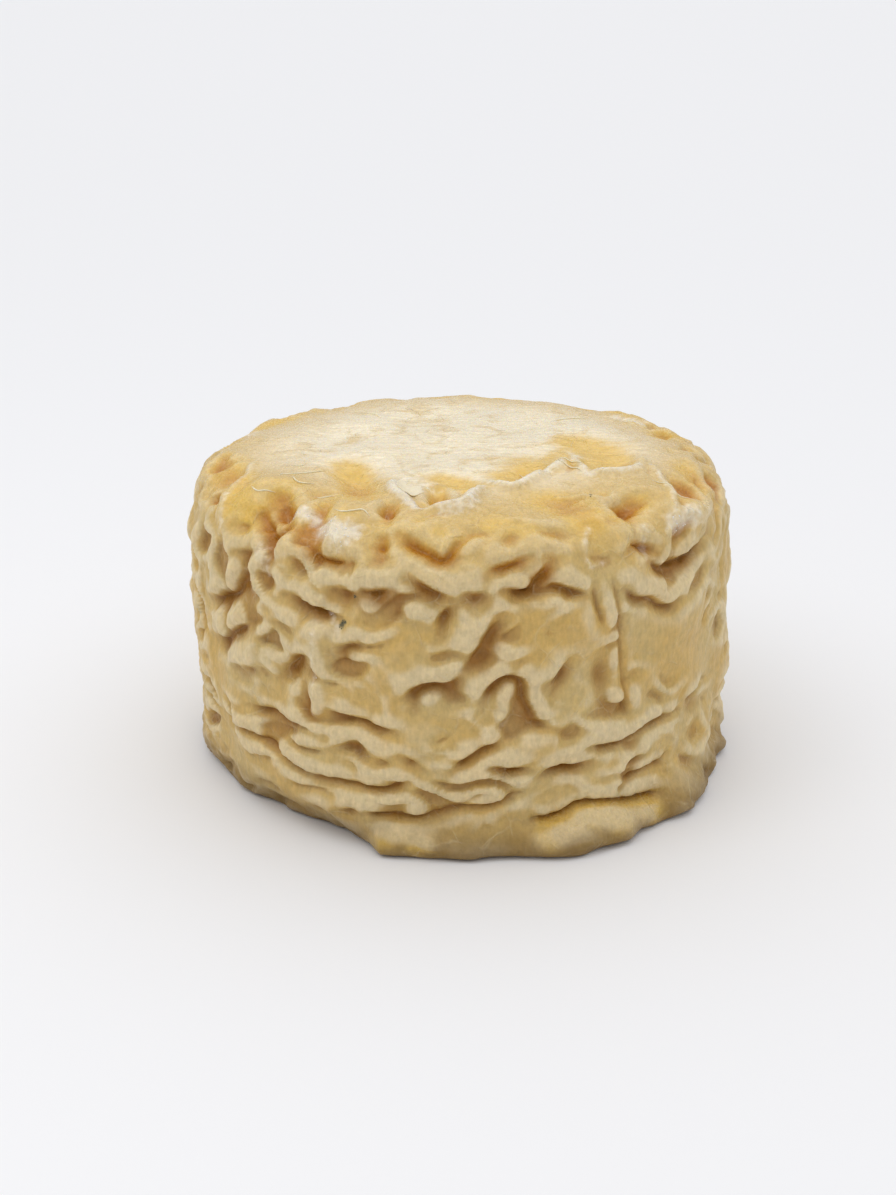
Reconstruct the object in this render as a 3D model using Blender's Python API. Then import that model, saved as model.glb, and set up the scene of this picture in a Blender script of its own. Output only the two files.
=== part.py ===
"""A small soft-ripened cheese wheel with a wrinkled washed rind, as one solid.

The wheel is a turned body: a flat foot, a nearly upright wall, a broad sloping shoulder and a
slightly domed top. Its rind has grown larger than the paste inside, so it has folded: rope-like
folds wind over it with pits between them. The crevices on the front are laid by hand, one by one.
The other folds follow a rule, and show most where no crevice is laid.
Units are metres, +Z is up, and the origin is the middle of the flat foot.
"""

import math
from typing import NamedTuple

import bmesh
import bpy
import numpy as np

MM = 0.001

# Driving dimensions of the turned body
WALL_RADIUS = 42.0 * MM
WHEEL_HEIGHT = 49.3 * MM
SHOULDER_START = 36.0 * MM
FOOT_RADIUS = 41.7 * MM
FOOT_ROUNDING = 1.6 * MM
LEAN = 0.5 * MM

# Exponents of the shoulder's curve: the first keeps the top flat, the second rounds the edge
TOP_FLATNESS = 9.5
EDGE_ROUNDING = 2.7

# Spacing of the points before the mesh is thinned, and the share of faces that is kept
POINT_SPACING = 0.85 * MM
KEPT_SHARE = 0.18

# Folds of rind on the wall and on the shoulder: their height and the depth of the pits between
WALL_FOLD = 0.85 * MM
WALL_PIT = 1.3 * MM
SHOULDER_FOLD = 1.0 * MM
SHOULDER_PIT = 1.7 * MM
FADING_LENGTH = 9.0 * MM
PIT_LENGTH = 8.0 * MM

# The spacing of the folds, how much wider than tall the pits between them are, and how far from
# its field's zero a fold reaches
FOLD_LENGTH = 10.5 * MM
FOLD_FLATNESS = 1.5
LYING_LENGTH = 19.0 * MM
LYING_FLATNESS = 3.6
FINE_LENGTH = 5.5 * MM
FINE_SHARE = 0.25
FOLD_REACH = 0.55

# How far, and over what length, the folds wander
WANDER = 0.55 * MM
WANDER_LENGTH = 6.5 * MM

SWELL_HEIGHT = 0.4 * MM
SWELL_LENGTH = 14.0 * MM

# Where the crevices that are laid by hand take over, as an azimuth from the front
LAID_HALF_ANGLE = math.radians(60)
LAID_BLEND = math.radians(15)
LAID_SHARE = 0.8

# The part of the wall that the wheel's own weight presses into lying folds
PRESSED_TOP = 22.0 * MM
PRESSED_BLEND = 8.0 * MM

# Rises between which the rind of the shoulder gives way to the smooth top, and how much lower
# both are away from the front
PLATE_START = 53.0 * MM
PLATE_FULL = 64.0 * MM
PLATE_LOWER = 7.0 * MM

# How high the spread of the foot reaches, and how uneven its edge is
FOOT_SPREAD_TOP = 7.0 * MM
FOOT_UNEVENNESS = 0.14 * MM
FOOT_UNEVEN_LENGTH = 6.0 * MM

# What stands lower than this belongs to the foot's flat face
FOOT_FLATNESS = 0.12 * MM

RIND_COLOUR = (0.52, 0.38, 0.17, 1.0)
RIND_ROUGHNESS = 0.5


class Fold(NamedTuple):
    """A crevice in the rind, or a raised lip where depth is negative. Depth and half width are in
    millimetres. The route's points are azimuth in degrees, 0 at the front and growing to the
    right, and rise in millimetres, measured up the surface from the foot."""

    depth: float
    half_width: float
    route: tuple


class Stroke(NamedTuple):
    """A soft stroke over the rind. The half width is in millimetres, and the route is written as a
    fold's is."""

    strength: float
    half_width: float
    route: tuple


# Where the rind is stretched smooth
CALM_STROKES = (
    Stroke(1.0, 6.0, ((38, 33), (50, 27), (62, 24))),
    Stroke(0.9, 4.0, ((-60, 8), (-42, 7), (-25, 8))),
    Stroke(0.5, 3.0, ((-17, 36), (-14, 30))),
    Stroke(0.5, 3.0, ((12, 38), (14, 32))),
    Stroke(0.7, 3.4, ((23, 37), (25, 30), (24, 24))),
    Stroke(0.9, 4.0, ((22, 58), (26, 50), (24, 44))),
    Stroke(0.8, 2.4, ((-22, 43), (-12, 45))),
    Stroke(0.9, 3.0, ((-18, 4), (8, 4), (30, 4), (58, 5))),
    Stroke(0.6, 3.0, ((-56, 21), (-44, 22))),
    Stroke(0.9, 4.0, ((-54, 58), (-53, 49))),
    Stroke(0.8, 4.0, ((-36, 57), (-26, 51))),
    Stroke(0.7, 3.4, ((-14, 54), (6, 53))),
    Stroke(0.8, 4.0, ((50, 58), (60, 53))),
    Stroke(0.9, 5.0, ((118, 20), (124, 34))),
    Stroke(0.9, 5.0, ((-150, 26), (-136, 33))),
    Stroke(0.8, 4.0, ((168, 8), (-176, 10))),
    Stroke(0.8, 5.0, ((-120, 56), (-108, 52))),
    Stroke(0.8, 5.0, ((140, 57), (154, 52))),
)

SHOULDER_POCKETS = (
    Fold(1.3, 3.2, ((-80, 50.5), (-72, 51.5), (-66, 51))),
    Fold(1.8, 1.2, ((-68.5, 48.2), (-64.5, 48))),
    Fold(2.8, 1.7, ((-49, 49.4), (-45.5, 48.2), (-42.5, 46.6))),
    Fold(2.6, 1.6, ((-48, 53.5), (-43.5, 51.5), (-40, 49.6))),
    Fold(1.2, 1.0, ((-54, 46), (-49.5, 47))),
    Fold(1.6, 2.8, ((-62, 68), (-45, 66), (-35, 62.5), (-29, 59))),
    Fold(1.2, 1.5, ((-42, 59), (-41.5, 55.5))),
    Fold(1.3, 1.5, ((-36, 56), (-34, 52), (-32, 49))),
    Fold(2.2, 1.3, ((-19, 57.5), (-18, 55), (-17, 53.4))),
    Fold(2.8, 1.3, ((-9.2, 67), (-7.5, 63.5), (-6.3, 60.3))),
    Fold(1.0, 2.4, ((-8, 71), (-1, 69.5), (4, 67))),
    Fold(2.0, 1.1, ((2, 65.5), (3.4, 64))),
    Fold(1.3, 1.8, ((28, 69.5), (36, 70.8), (44, 71.5))),
    Fold(1.4, 3.6, ((27, 59), (29, 54), (29, 51))),
    Fold(3.2, 1.8, ((39, 50.8), (41.5, 52.3), (46, 53.4))),
    Fold(1.5, 3.6, ((66, 66), (74, 62.8), (84, 64))),
    Fold(1.2, 1.8, ((70, 53), (62, 50.2), (56, 48.8))),
    Fold(1.4, 2.6, ((76, 52), (74, 50), (72, 48.5))),
)

SHOULDER_LIPS = (
    Fold(-1.0, 3.2, ((-92, 50), (-77, 52))),
    Fold(-0.9, 1.0, ((-78, 55.5), (-70, 53.3), (-65, 50.3), (-61.5, 48), (-57.5, 45))),
    Fold(-1.0, 3.0, ((-55, 57), (-54, 52), (-55, 48))),
    Fold(-1.1, 2.4, ((-28, 53.5), (-26, 50))),
    Fold(-1.1, 0.9, ((-28, 66.4), (-24.5, 64), (-21, 62), (-15.5, 59.6), (-11.5, 57))),
    Fold(-1.3, 1.3, ((-11.5, 57), (-6.5, 57), (-2.8, 56.8), (0.8, 57.4), (4.2, 62), (8.2, 66.5))),
    Fold(-1.2, 1.2, ((13, 68), (15.5, 65.8), (19, 64.5), (25, 65.5), (32, 67.2), (41.8, 68.3))),
    Fold(-1.2, 1.2, ((41.8, 68.3), (55, 69), (68, 70))),
    Fold(-1.1, 1.1, ((74, 69), (66, 68.3), (59, 66.5), (50, 63.3))),
    Fold(-1.1, 1.1, ((50, 63.3), (55, 62), (60, 59.8), (68, 58.6), (80, 59.5))),
    Fold(-0.6, 0.7, ((74, 57.5), (65, 54.5), (58, 51.5), (51, 48))),
    Fold(-0.9, 2.6, ((48, 57), (53, 54))),
    Fold(-1.3, 2.0, ((48, 46.6), (57, 47), (65, 47))),
    Fold(-0.5, 0.6, ((28, 49.8), (25.2, 47), (25, 45), (27, 43.8), (30, 44.4))),
)

RIBS_AND_RIM = (
    Fold(-0.7, 1.2, ((-29, 36), (-29.5, 29), (-30, 23), (-30.5, 19))),
    Fold(-0.5, 0.8, ((29.5, 41), (31, 34), (32, 28))),
    Fold(-0.9, 1.8, ((-17, 3.2), (-15, 4.5), (-8, 4), (-3, 3.2))),
    Fold(-0.9, 2.2, ((15, 3.5), (25, 4.5), (35, 3.5), (45, 3))),
)

WALL_GROOVES = (
    Fold(2.6, 1.5, ((-47, 48.5), (-44, 47.3), (-42, 45.5), (-41, 43.5), (-41.8, 42.3))),
    Fold(1.8, 1.2, ((-33, 46.1), (-30, 45.4), (-27, 45.2), (-22, 45))),
    Fold(2.6, 1.4, ((-16.4, 49.4), (-15.8, 46.6))),
    Fold(1.9, 1.3, ((-13, 50.2), (-7, 48), (-3.3, 46.6), (-0.5, 48.8))),
    Fold(2.8, 1.7, ((-25, 40.6), (-22, 40.4), (-20.5, 40.6))),
    Fold(2.8, 1.6, ((-19, 40.9), (-16, 41.3), (-13, 41.7))),
    Fold(2.0, 1.3, ((-10, 43.8), (-7.5, 42.8), (-5, 41.8), (-2, 40.9))),
    Fold(2.8, 1.6, ((1.4, 41.5), (3.8, 41.3))),
    Fold(2.2, 1.3, ((8, 42.2), (12.5, 41.8), (15, 43.4), (18, 45.8))),
    Fold(1.6, 1.2, ((16, 43.2), (21, 41.3), (24, 40))),
    Fold(1.6, 1.1, ((4.5, 44.2), (7, 45.4), (12, 46.3), (14, 46.4))),
    Fold(1.5, 1.1, ((16.5, 46.4), (19, 46))),
    Fold(2.2, 1.2, ((35.5, 45.4), (38, 46), (41, 45), (43, 44))),
    Fold(2.0, 1.3, ((40, 43), (42.7, 41.6), (47, 41.2), (54, 41.6), (58, 42))),
    Fold(1.6, 1.0, ((45, 38.5), (45.7, 40), (48, 40.4), (51.3, 40.2), (56, 41))),
    Fold(1.5, 1.1, ((33, 40), (36, 38.2), (40, 37.4), (43, 35.8), (46, 35.2), (48.5, 35.8))),
    Fold(1.1, 0.7, ((26, 41.5), (26.4, 39), (28, 35))),
    Fold(0.9, 0.65, ((30.5, 41.5), (31.5, 36), (33.3, 29), (35, 20))),
    Fold(1.2, 1.8, ((28, 31), (28.5, 27), (28, 23.5))),
    Fold(1.8, 1.3, ((-47, 40), (-50, 38), (-53, 35.5), (-64, 32))),
    Fold(1.7, 1.4, ((-62, 26.3), (-57, 27.3), (-53, 29.5), (-49, 31.2), (-46, 31.8))),
    Fold(1.8, 1.2, ((-35.5, 38.8), (-32, 38), (-28, 37.4), (-24, 36.6))),
    Fold(1.7, 1.3, ((-26, 31.2), (-23.5, 31.8), (-21.3, 32.6))),
    Fold(1.7, 1.4, ((-31, 29.8), (-34.5, 29.2), (-36, 27.5), (-39, 25))),
    Fold(1.5, 1.1, ((-32.5, 25.5), (-31.3, 23), (-31.3, 20.8))),
    Fold(1.7, 1.2, ((-1, 40), (-3.3, 38.3), (-4, 35.3))),
    Fold(1.7, 1.5, ((7.5, 38.5), (5, 35), (2, 31.5), (-0.5, 29.5))),
    Fold(1.9, 1.3, ((-9.2, 24.5), (-9, 27.3), (-6, 28.2), (-2, 28.2), (0, 29.6))),
    Fold(1.8, 1.1, ((4, 25.2), (5.5, 27.5), (8, 29.3), (11, 28.8), (12, 25.5), (15, 21.5))),
    Fold(1.6, 1.2, ((16, 27.3), (19, 28.3), (21, 31))),
    Fold(1.5, 1.0, ((-28, 22.3), (-20, 21.7), (-17, 21), (-13, 20.8))),
    Fold(1.5, 1.0, ((-2, 15), (0, 16.5), (4, 18.4), (8, 19.6))),
    Fold(1.5, 0.9, ((6, 15), (10, 14.8), (13.5, 14.6))),
    Fold(2.0, 1.2, ((16, 13.2), (19.5, 14.4), (22, 14.2), (26, 14.2))),
    Fold(1.5, 0.9, ((26, 16.8), (32, 16.2), (35, 16.4), (40, 17.3), (48, 17.4))),
    Fold(1.2, 0.9, ((33, 16), (36, 15.2), (39, 16))),
    Fold(1.4, 0.9, ((34, 11.3), (35.2, 12.3), (38, 12.7), (40, 12.5))),
    Fold(1.1, 1.3, ((50, 9.8), (54, 8.3), (58, 6.8))),
    Fold(0.9, 1.8, ((52, 18.5), (57, 17), (62, 15.5))),
    Fold(1.4, 0.8, ((-60, 14.2), (-50, 14.3), (-45, 13.8), (-40, 12.9), (-36, 11.8), (-31, 11.3))),
    Fold(1.5, 0.9, ((-33, 11.4), (-24, 11.5), (-16, 11.4), (-11, 13))),
    Fold(1.0, 0.7, ((-38, 15.8), (-34, 15.2), (-29, 15.4))),
    Fold(0.9, 0.7, ((-38, 8.6), (-34, 8.9), (-30, 9.4), (-27, 8.8))),
    Fold(1.3, 0.9, ((-26, 6.5), (-23, 7), (-20.5, 6.8))),
    Fold(1.0, 0.8, ((-33, 5.8), (-30.5, 6), (-28.5, 5.5))),
    Fold(0.8, 0.7, ((-50, 6), (-45, 6.5), (-41, 5.8))),
    Fold(1.4, 0.8, ((-20, 7.2), (-12, 7.2), (-6, 7.6), (0, 9.2), (5, 9.5), (11, 11))),
    Fold(1.6, 0.8, ((14, 6.3), (20, 6.8), (24, 8.2), (30, 7.8), (36, 6.5), (45, 5.2))),
    Fold(1.3, 0.9, ((33, 9.5), (42, 10.4), (47, 9.6))),
    Fold(1.4, 1.0, ((-12, 39.5), (-11.5, 38.5), (-10.5, 37.5))),
    Fold(1.4, 1.1, ((-50, 25), (-45, 24.9))),
    Fold(1.5, 1.1, ((-49, 18.6), (-46, 18.6), (-42, 19), (-38, 18.4), (-33, 18.6))),
    Fold(1.5, 1.3, ((-52, 42), (-49, 42.6), (-46, 43.4))),
    Fold(1.6, 1.1, ((-12, 17.2), (-10, 16.4), (-8, 15.3))),
)

PITS = (
    Fold(1.8, 1.1, ((9.7, 49.2), (10.6, 49.6))),
    Fold(1.6, 1.2, ((4, 50.5), (5, 50.5))),
    Fold(1.6, 1.1, ((-22.5, 16.9), (-20.5, 16.8))),
    Fold(1.6, 1.1, ((-38.5, 34), (-36.3, 33.8))),
    Fold(1.4, 0.9, ((-40.8, 39.7), (-39.8, 39.7))),
    Fold(1.6, 1.3, ((33.5, 50), (34.5, 50))),
    Fold(0.8, 2.0, ((26, 46), (30, 46))),
)

LAID_CREVICES = SHOULDER_POCKETS + WALL_GROOVES + PITS
LAID_LIPS = SHOULDER_LIPS + RIBS_AND_RIM

# How far the foot's edge spreads at azimuths in degrees, in millimetres. It curls under at the
# front left, and has sagged outwards at the front right.
FOOT_SPREAD = (
    (-180, 0.5),
    (-140, 0.1),
    (-110, 0.5),
    (-95, 0.4),
    (-80, -0.4),
    (-64, -0.9),
    (-50, -2.7),
    (-27, -3.6),
    (-19, -0.4),
    (-16, 1.8),
    (-6, 1.7),
    (4, 1.1),
    (10, 1.6),
    (16, 3.2),
    (23, 3.7),
    (33, 3.1),
    (37, 1.8),
    (41, 2.5),
    (50, 2.5),
    (60, 2.0),
    (75, 1.2),
    (90, 0.1),
    (120, 0.7),
    (150, 0.1),
    (180, 0.5),
)


def clear_scene():
    for thing in list(bpy.data.objects):
        bpy.data.objects.remove(thing)


def smooth_step(low, high, value):
    """0 below low, 1 above high, and an even curve between them."""
    share = np.clip((value - low) / (high - low), 0, 1)
    return share * share * (3 - 2 * share)


def wheel_outline():
    """The turned body's outline from the foot's flat to the middle of the top, as radius and height."""
    turn = np.linspace(0, math.pi / 2, 20)
    foot = np.column_stack(
        (
            FOOT_RADIUS - FOOT_ROUNDING * (1 - np.sin(turn)),
            FOOT_ROUNDING * (1 - np.cos(turn)),
        )
    )
    height = np.linspace(FOOT_ROUNDING, SHOULDER_START, 120)[1:]
    below = (SHOULDER_START - height) / (SHOULDER_START - FOOT_ROUNDING)
    wall = np.column_stack((WALL_RADIUS - (WALL_RADIUS - FOOT_RADIUS) * below**3, height))
    turn = np.linspace(math.pi / 2, 0, 400)[1:]
    dome = np.column_stack(
        (
            WALL_RADIUS * np.sin(turn) ** (2 / TOP_FLATNESS),
            SHOULDER_START
            + (WHEEL_HEIGHT - SHOULDER_START) * np.cos(turn) ** (2 / EDGE_ROUNDING),
        )
    )
    return np.concatenate((foot, wall, dome))


OUTLINE = wheel_outline()
RISE = np.concatenate(([0], np.cumsum(np.hypot(*np.diff(OUTLINE, axis=0).T))))


def on_body(azimuth, rise):
    """Points of the smooth body at an azimuth in radians and a rise in metres."""
    radius = np.interp(rise, RISE, OUTLINE[:, 0])
    height = np.interp(rise, RISE, OUTLINE[:, 1])
    lean = LEAN * (0.5 - height / WHEEL_HEIGHT)
    return np.column_stack(
        (radius * np.sin(azimuth) + lean, -radius * np.cos(azimuth), height)
    )


def outward(azimuth, rise):
    """The body's outward direction at the same places."""
    step = 0.5 * MM
    ahead = np.clip(rise + step, 0, RISE[-1])
    behind = np.clip(rise - step, 0, RISE[-1])
    run = np.interp(ahead, RISE, OUTLINE[:, 0]) - np.interp(behind, RISE, OUTLINE[:, 0])
    climb = np.interp(ahead, RISE, OUTLINE[:, 1]) - np.interp(behind, RISE, OUTLINE[:, 1])
    length = np.hypot(run, climb)
    side, up = climb / length, -run / length
    return np.column_stack((side * np.sin(azimuth), -side * np.cos(azimuth), up))


def ripple(points, length, seed, waves=40):
    """An uneven field of unit size with no direction of its own, made of waves of about one length."""
    draw = np.random.default_rng(seed)
    heading = draw.normal(size=(waves, 3))
    heading /= np.linalg.norm(heading, axis=1)[:, None]
    pitch = 2 * math.pi / length * draw.uniform(0.8, 1.25, waves)
    phase = draw.uniform(0, 2 * math.pi, waves)
    return np.cos(points @ (heading * pitch[:, None]).T + phase).sum(axis=1) * math.sqrt(2 / waves)


def wander(points, reach, length, seed):
    """Points moved about unevenly, so that what is drawn from them has no straight lines."""
    return points + reach * np.column_stack([ripple(points, length, seed + k) for k in range(3)])


def folds(points, seed=3):
    """How high the rope-like folds of the rind stand at each point, and how deep the pits between
    them are, both from 0 to 1. A fold runs where an uneven field passes through zero, so it winds,
    and it fades and rises again along its length. Where the body's weight presses on the rind, low
    on the wall, the folds lie."""
    moved = wander(points, WANDER, WANDER_LENGTH, seed + 30)
    pressed = smooth_step(PRESSED_TOP, PRESSED_TOP - PRESSED_BLEND, points[:, 2])
    upright = ripple(moved * (1, 1, FOLD_FLATNESS), FOLD_LENGTH, seed)
    lying = ripple(moved * (1, 1, LYING_FLATNESS), LYING_LENGTH, seed + 1)
    field = np.abs(upright + (lying - upright) * pressed)
    fine = ripple(moved * (1, 1, FOLD_FLATNESS), FINE_LENGTH, seed + 2)
    risen = 0.35 + 0.65 * smooth_step(-0.9, 0.6, ripple(points, FADING_LENGTH, seed + 90))
    large = risen * np.exp(-((field / FOLD_REACH) ** 2))
    small = FINE_SHARE * np.exp(-((fine / FOLD_REACH) ** 2))
    sunk = smooth_step(-0.6, 0.7, ripple(points, PIT_LENGTH, seed + 80))
    pit = sunk * smooth_step(FOLD_REACH, 2.3 * FOLD_REACH, field)
    return np.maximum(large, small), pit


def smooth_route(corners, parts=6):
    """A curve through the corners of a route, in short straight legs."""
    if len(corners) < 3:
        return corners
    ends = (2 * corners[0] - corners[1], 2 * corners[-1] - corners[-2])
    knots = np.vstack((ends[0], corners, ends[1]))
    share = (np.arange(parts) / parts)[:, None]
    legs = []
    for before, start, end, after in zip(knots, knots[1:], knots[2:], knots[3:]):
        bend = 2 * before - 5 * start + 4 * end - after
        turn = 3 * start - before - 3 * end + after
        legs.append(0.5 * (2 * start + (end - before) * share + bend * share**2 + turn * share**3))
    return np.vstack((*legs, corners[-1]))


def along_route(points, route, reach):
    """The points within reach of a route: which they are, how far from it, how far above it, and how
    far along it from the nearer end."""
    corners = smooth_route(np.array(route, float))
    corners = on_body(np.radians(corners[:, 0]), corners[:, 1] * MM)
    inside = (points > corners.min(axis=0) - reach) & (points < corners.max(axis=0) + reach)
    near = np.flatnonzero(inside.all(axis=1))
    close = points[near]
    starts, legs = corners[:-1], np.diff(corners, axis=0)
    lengths = np.linalg.norm(legs, axis=1)
    travelled = np.concatenate(([0], np.cumsum(lengths)))
    nearest = np.full(len(near), np.inf)
    along = np.zeros(len(near))
    above = np.zeros(len(near))
    for start, leg, length, before in zip(starts, legs, lengths, travelled):
        share = np.clip((close - start) @ leg / length**2, 0, 1)
        offset = close - start - share[:, None] * leg
        gap = np.linalg.norm(offset, axis=1)
        closer = gap < nearest
        nearest = np.where(closer, gap, nearest)
        along = np.where(closer, before + share * length, along)
        above = np.where(closer, offset[:, 2], above)
    return near, nearest, above, np.minimum(along, travelled[-1] - along)


def laid_fold(points, fold):
    """The depth in metres that one fold adds at each point: full along its middle, less at its ends.
    A crevice is steep on its upper side, where the rind hangs over it and swells into a lip."""
    width = fold.half_width * MM
    near, nearest, above, end = along_route(points, fold.route, 3.2 * width)
    strength = fold.depth * MM * (0.4 + 0.6 * smooth_step(0, 2.2 * width, end))
    depth = np.zeros(len(points))
    if fold.depth < 0:
        depth[near] = strength * np.exp(-((nearest / width) ** 2))
        return depth
    side_width = width * (1 - 0.32 * np.tanh(above / (0.35 * width)))
    lip = 0.2 * np.exp(-(((above / width - 1.5) / 0.8) ** 2)) * np.exp(-((nearest / (2.4 * width)) ** 2))
    depth[near] = strength * (np.exp(-((nearest / side_width) ** 2.1)) - lip)
    return depth


def laid_relief(points):
    """The crevices and the lips that are laid by hand, as depths in metres."""
    crevices = np.zeros(len(points))
    lips = np.zeros(len(points))
    for fold in LAID_CREVICES:
        depth = laid_fold(points, fold)
        crevices = np.where(np.abs(depth) > np.abs(crevices), depth, crevices)
    for fold in LAID_LIPS:
        lips = np.minimum(lips, laid_fold(points, fold))
    return crevices, lips


def strokes(points, table):
    """How strongly the strokes of a table cover each point, from 0 to 1."""
    cover = np.zeros(len(points))
    for stroke in table:
        width = stroke.half_width * MM
        near, nearest, _, _ = along_route(points, stroke.route, 2.6 * width)
        cover[near] = np.maximum(cover[near], stroke.strength * np.exp(-((nearest / width) ** 2)))
    return cover


def relief(points, azimuth, rise):
    """How far the rind stands out of the smooth body at each point, in metres."""
    shoulder = smooth_step(41 * MM, 48 * MM, rise)
    away = smooth_step(math.radians(45), math.radians(80), np.abs(azimuth))
    plate = smooth_step(PLATE_START, PLATE_FULL, rise + PLATE_LOWER * away)
    foot = smooth_step(0.5 * MM, 3 * MM, rise)
    laid = 1 - smooth_step(LAID_HALF_ANGLE, LAID_HALF_ANGLE + LAID_BLEND, np.abs(azimuth))
    by_rule = (1 - (1 - LAID_SHARE) * laid) * (1 - plate) * (1 - strokes(points, CALM_STROKES))

    fold, pit = folds(points)
    laid_crevices, lips = laid_relief(points)
    by_rule = by_rule * (1 - 0.6 * np.clip(laid_crevices / (1.5 * MM), 0, 1))
    high = WALL_FOLD + (SHOULDER_FOLD - WALL_FOLD) * shoulder
    deep = WALL_PIT + (SHOULDER_PIT - WALL_PIT) * shoulder
    fold_relief = (high * fold - deep * pit) * by_rule

    swell = SWELL_HEIGHT * ripple(points, SWELL_LENGTH, 40) * (1 - 0.7 * plate)
    return (fold_relief + swell - laid_crevices - lips) * foot


def foot_spread(points, azimuth, rise):
    """How far the edge of the foot has moved outwards over the ground, as offsets in metres."""
    reach = np.interp(np.degrees(azimuth), *np.array(FOOT_SPREAD).T) * MM
    reach += FOOT_UNEVENNESS * ripple(points, FOOT_UNEVEN_LENGTH, 50)
    reach *= smooth_step(FOOT_SPREAD_TOP, FOOT_ROUNDING, rise)
    return reach[:, None] * np.column_stack((np.sin(azimuth), -np.cos(azimuth), np.zeros(len(azimuth))))


def wheel_mesh():
    """A closed mesh of the wheel: rings of points up the body, with a point in the middle of each end."""
    columns = round(2 * math.pi * WALL_RADIUS / POINT_SPACING)
    levels = round(RISE[-1] / POINT_SPACING)
    ring_azimuth = np.linspace(-math.pi, math.pi, columns, endpoint=False)
    ring_rise = np.linspace(0, RISE[-1], levels + 1)[:-1]
    azimuth = np.tile(ring_azimuth, levels)
    rise = np.repeat(ring_rise, columns)

    points = on_body(azimuth, rise)
    points += outward(azimuth, rise) * relief(points, azimuth, rise)[:, None] + foot_spread(
        points, azimuth, rise
    )
    points[:, 2] = np.maximum(points[:, 2], 0)
    low, high = points.min(axis=0), points.max(axis=0)
    middle = (low + high) / 2
    points[:, :2] -= middle[:2]

    mesh = bmesh.new()
    corners = [mesh.verts.new(point) for point in points]
    foot_middle = mesh.verts.new((0, 0, 0))
    top_ring = points[-columns:]
    top_middle = mesh.verts.new((*top_ring[:, :2].mean(axis=0), top_ring[:, 2].mean()))
    for column in range(columns):
        beside = (column + 1) % columns
        mesh.faces.new((corners[beside], corners[column], foot_middle))
        last = (levels - 1) * columns
        mesh.faces.new((corners[last + column], corners[last + beside], top_middle))
        for level in range(levels - 1):
            below, above = level * columns, (level + 1) * columns
            mesh.faces.new(
                (
                    corners[below + column],
                    corners[below + beside],
                    corners[above + beside],
                    corners[above + column],
                )
            )
    bmesh.ops.triangulate(mesh, faces=mesh.faces[:])
    data = bpy.data.meshes.new("cheese_wheel")
    mesh.to_mesh(data)
    mesh.free()
    data.shade_smooth()
    return data


def rind_material():
    material = bpy.data.materials.new("washed_rind")
    material.use_nodes = True
    shader = material.node_tree.nodes["Principled BSDF"]
    shader.inputs["Base Color"].default_value = RIND_COLOUR
    shader.inputs["Roughness"].default_value = RIND_ROUGHNESS
    shader.inputs["Metallic"].default_value = 0.0
    return material


def build_wheel():
    """Thins the wheel's mesh and levels its foot again, as the thinning leaves it a little uneven."""
    wheel = bpy.data.objects.new("cheese_wheel", wheel_mesh())
    bpy.context.scene.collection.objects.link(wheel)
    wheel.data.materials.append(rind_material())
    thinned = wheel.modifiers.new("thinned", "DECIMATE")
    thinned.decimate_type = "COLLAPSE"
    thinned.ratio = KEPT_SHARE
    evaluated = wheel.evaluated_get(bpy.context.evaluated_depsgraph_get())
    wheel.data = bpy.data.meshes.new_from_object(evaluated)
    wheel.modifiers.remove(thinned)
    for corner in wheel.data.vertices:
        if corner.co.z < FOOT_FLATNESS:
            corner.co.z = 0
    return wheel


clear_scene()
build_wheel()
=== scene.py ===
"""The looks of a small soft-ripened cheese wheel with a wrinkled washed rind.

The rind is one mesh: the turned body of the solid with its folds, then upright stretch lines and
a fine grain. Its colour follows its own shape: pale on crests, partly as painted light, ochre in
crevices and hollows, darkened there as painted shade, darker towards the foot, partly as painted
shade near the ground, butter yellow in the wet pockets of the shoulder and cream on the top. Crumbs
of white bloom, pale threads whose colour paints thin highlights, a torn flap of skin and a few
specks of mould lie on it. Lengths are metres unless a name or comment says otherwise.
"""

import math
from typing import NamedTuple

import bmesh
import bpy
import numpy as np
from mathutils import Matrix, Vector


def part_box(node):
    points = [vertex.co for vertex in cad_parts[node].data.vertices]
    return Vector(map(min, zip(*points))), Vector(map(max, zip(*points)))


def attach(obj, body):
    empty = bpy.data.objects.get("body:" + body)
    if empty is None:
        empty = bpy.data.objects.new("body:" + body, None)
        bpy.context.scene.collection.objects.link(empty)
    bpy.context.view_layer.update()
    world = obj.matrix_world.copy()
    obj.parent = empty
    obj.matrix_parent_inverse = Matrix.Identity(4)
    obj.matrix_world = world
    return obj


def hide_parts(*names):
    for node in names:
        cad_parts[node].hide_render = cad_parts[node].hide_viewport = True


bl_info = {
    "name": "Washed-rind cheese wheel",
    "version": (1, 0, 0),
    "blender": (4, 5, 0),
    "location": "View3D > Sidebar > Cheese",
    "description": "Builds the wrinkled rind of a small cheese wheel around its solid",
    "category": "Object",
}

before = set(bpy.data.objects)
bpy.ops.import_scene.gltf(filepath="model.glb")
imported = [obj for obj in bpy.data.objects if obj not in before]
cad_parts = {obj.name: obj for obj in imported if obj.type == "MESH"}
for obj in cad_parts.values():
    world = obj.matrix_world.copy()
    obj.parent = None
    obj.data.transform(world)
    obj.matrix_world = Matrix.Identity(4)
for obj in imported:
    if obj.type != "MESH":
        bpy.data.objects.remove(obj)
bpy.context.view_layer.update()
WHEEL_LOW, WHEEL_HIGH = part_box("cheese_wheel")

MM = 0.001

# The turned body, as the solid has it
WALL_RADIUS = 42.0 * MM
WHEEL_HEIGHT = 49.3 * MM
SHOULDER_START = 36.0 * MM
FOOT_RADIUS = 41.7 * MM
FOOT_ROUNDING = 1.6 * MM
LEAN = 0.5 * MM
SLOPE_STEP = 0.5 * MM
TOP_FLATNESS = 9.5
EDGE_ROUNDING = 2.7

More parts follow.
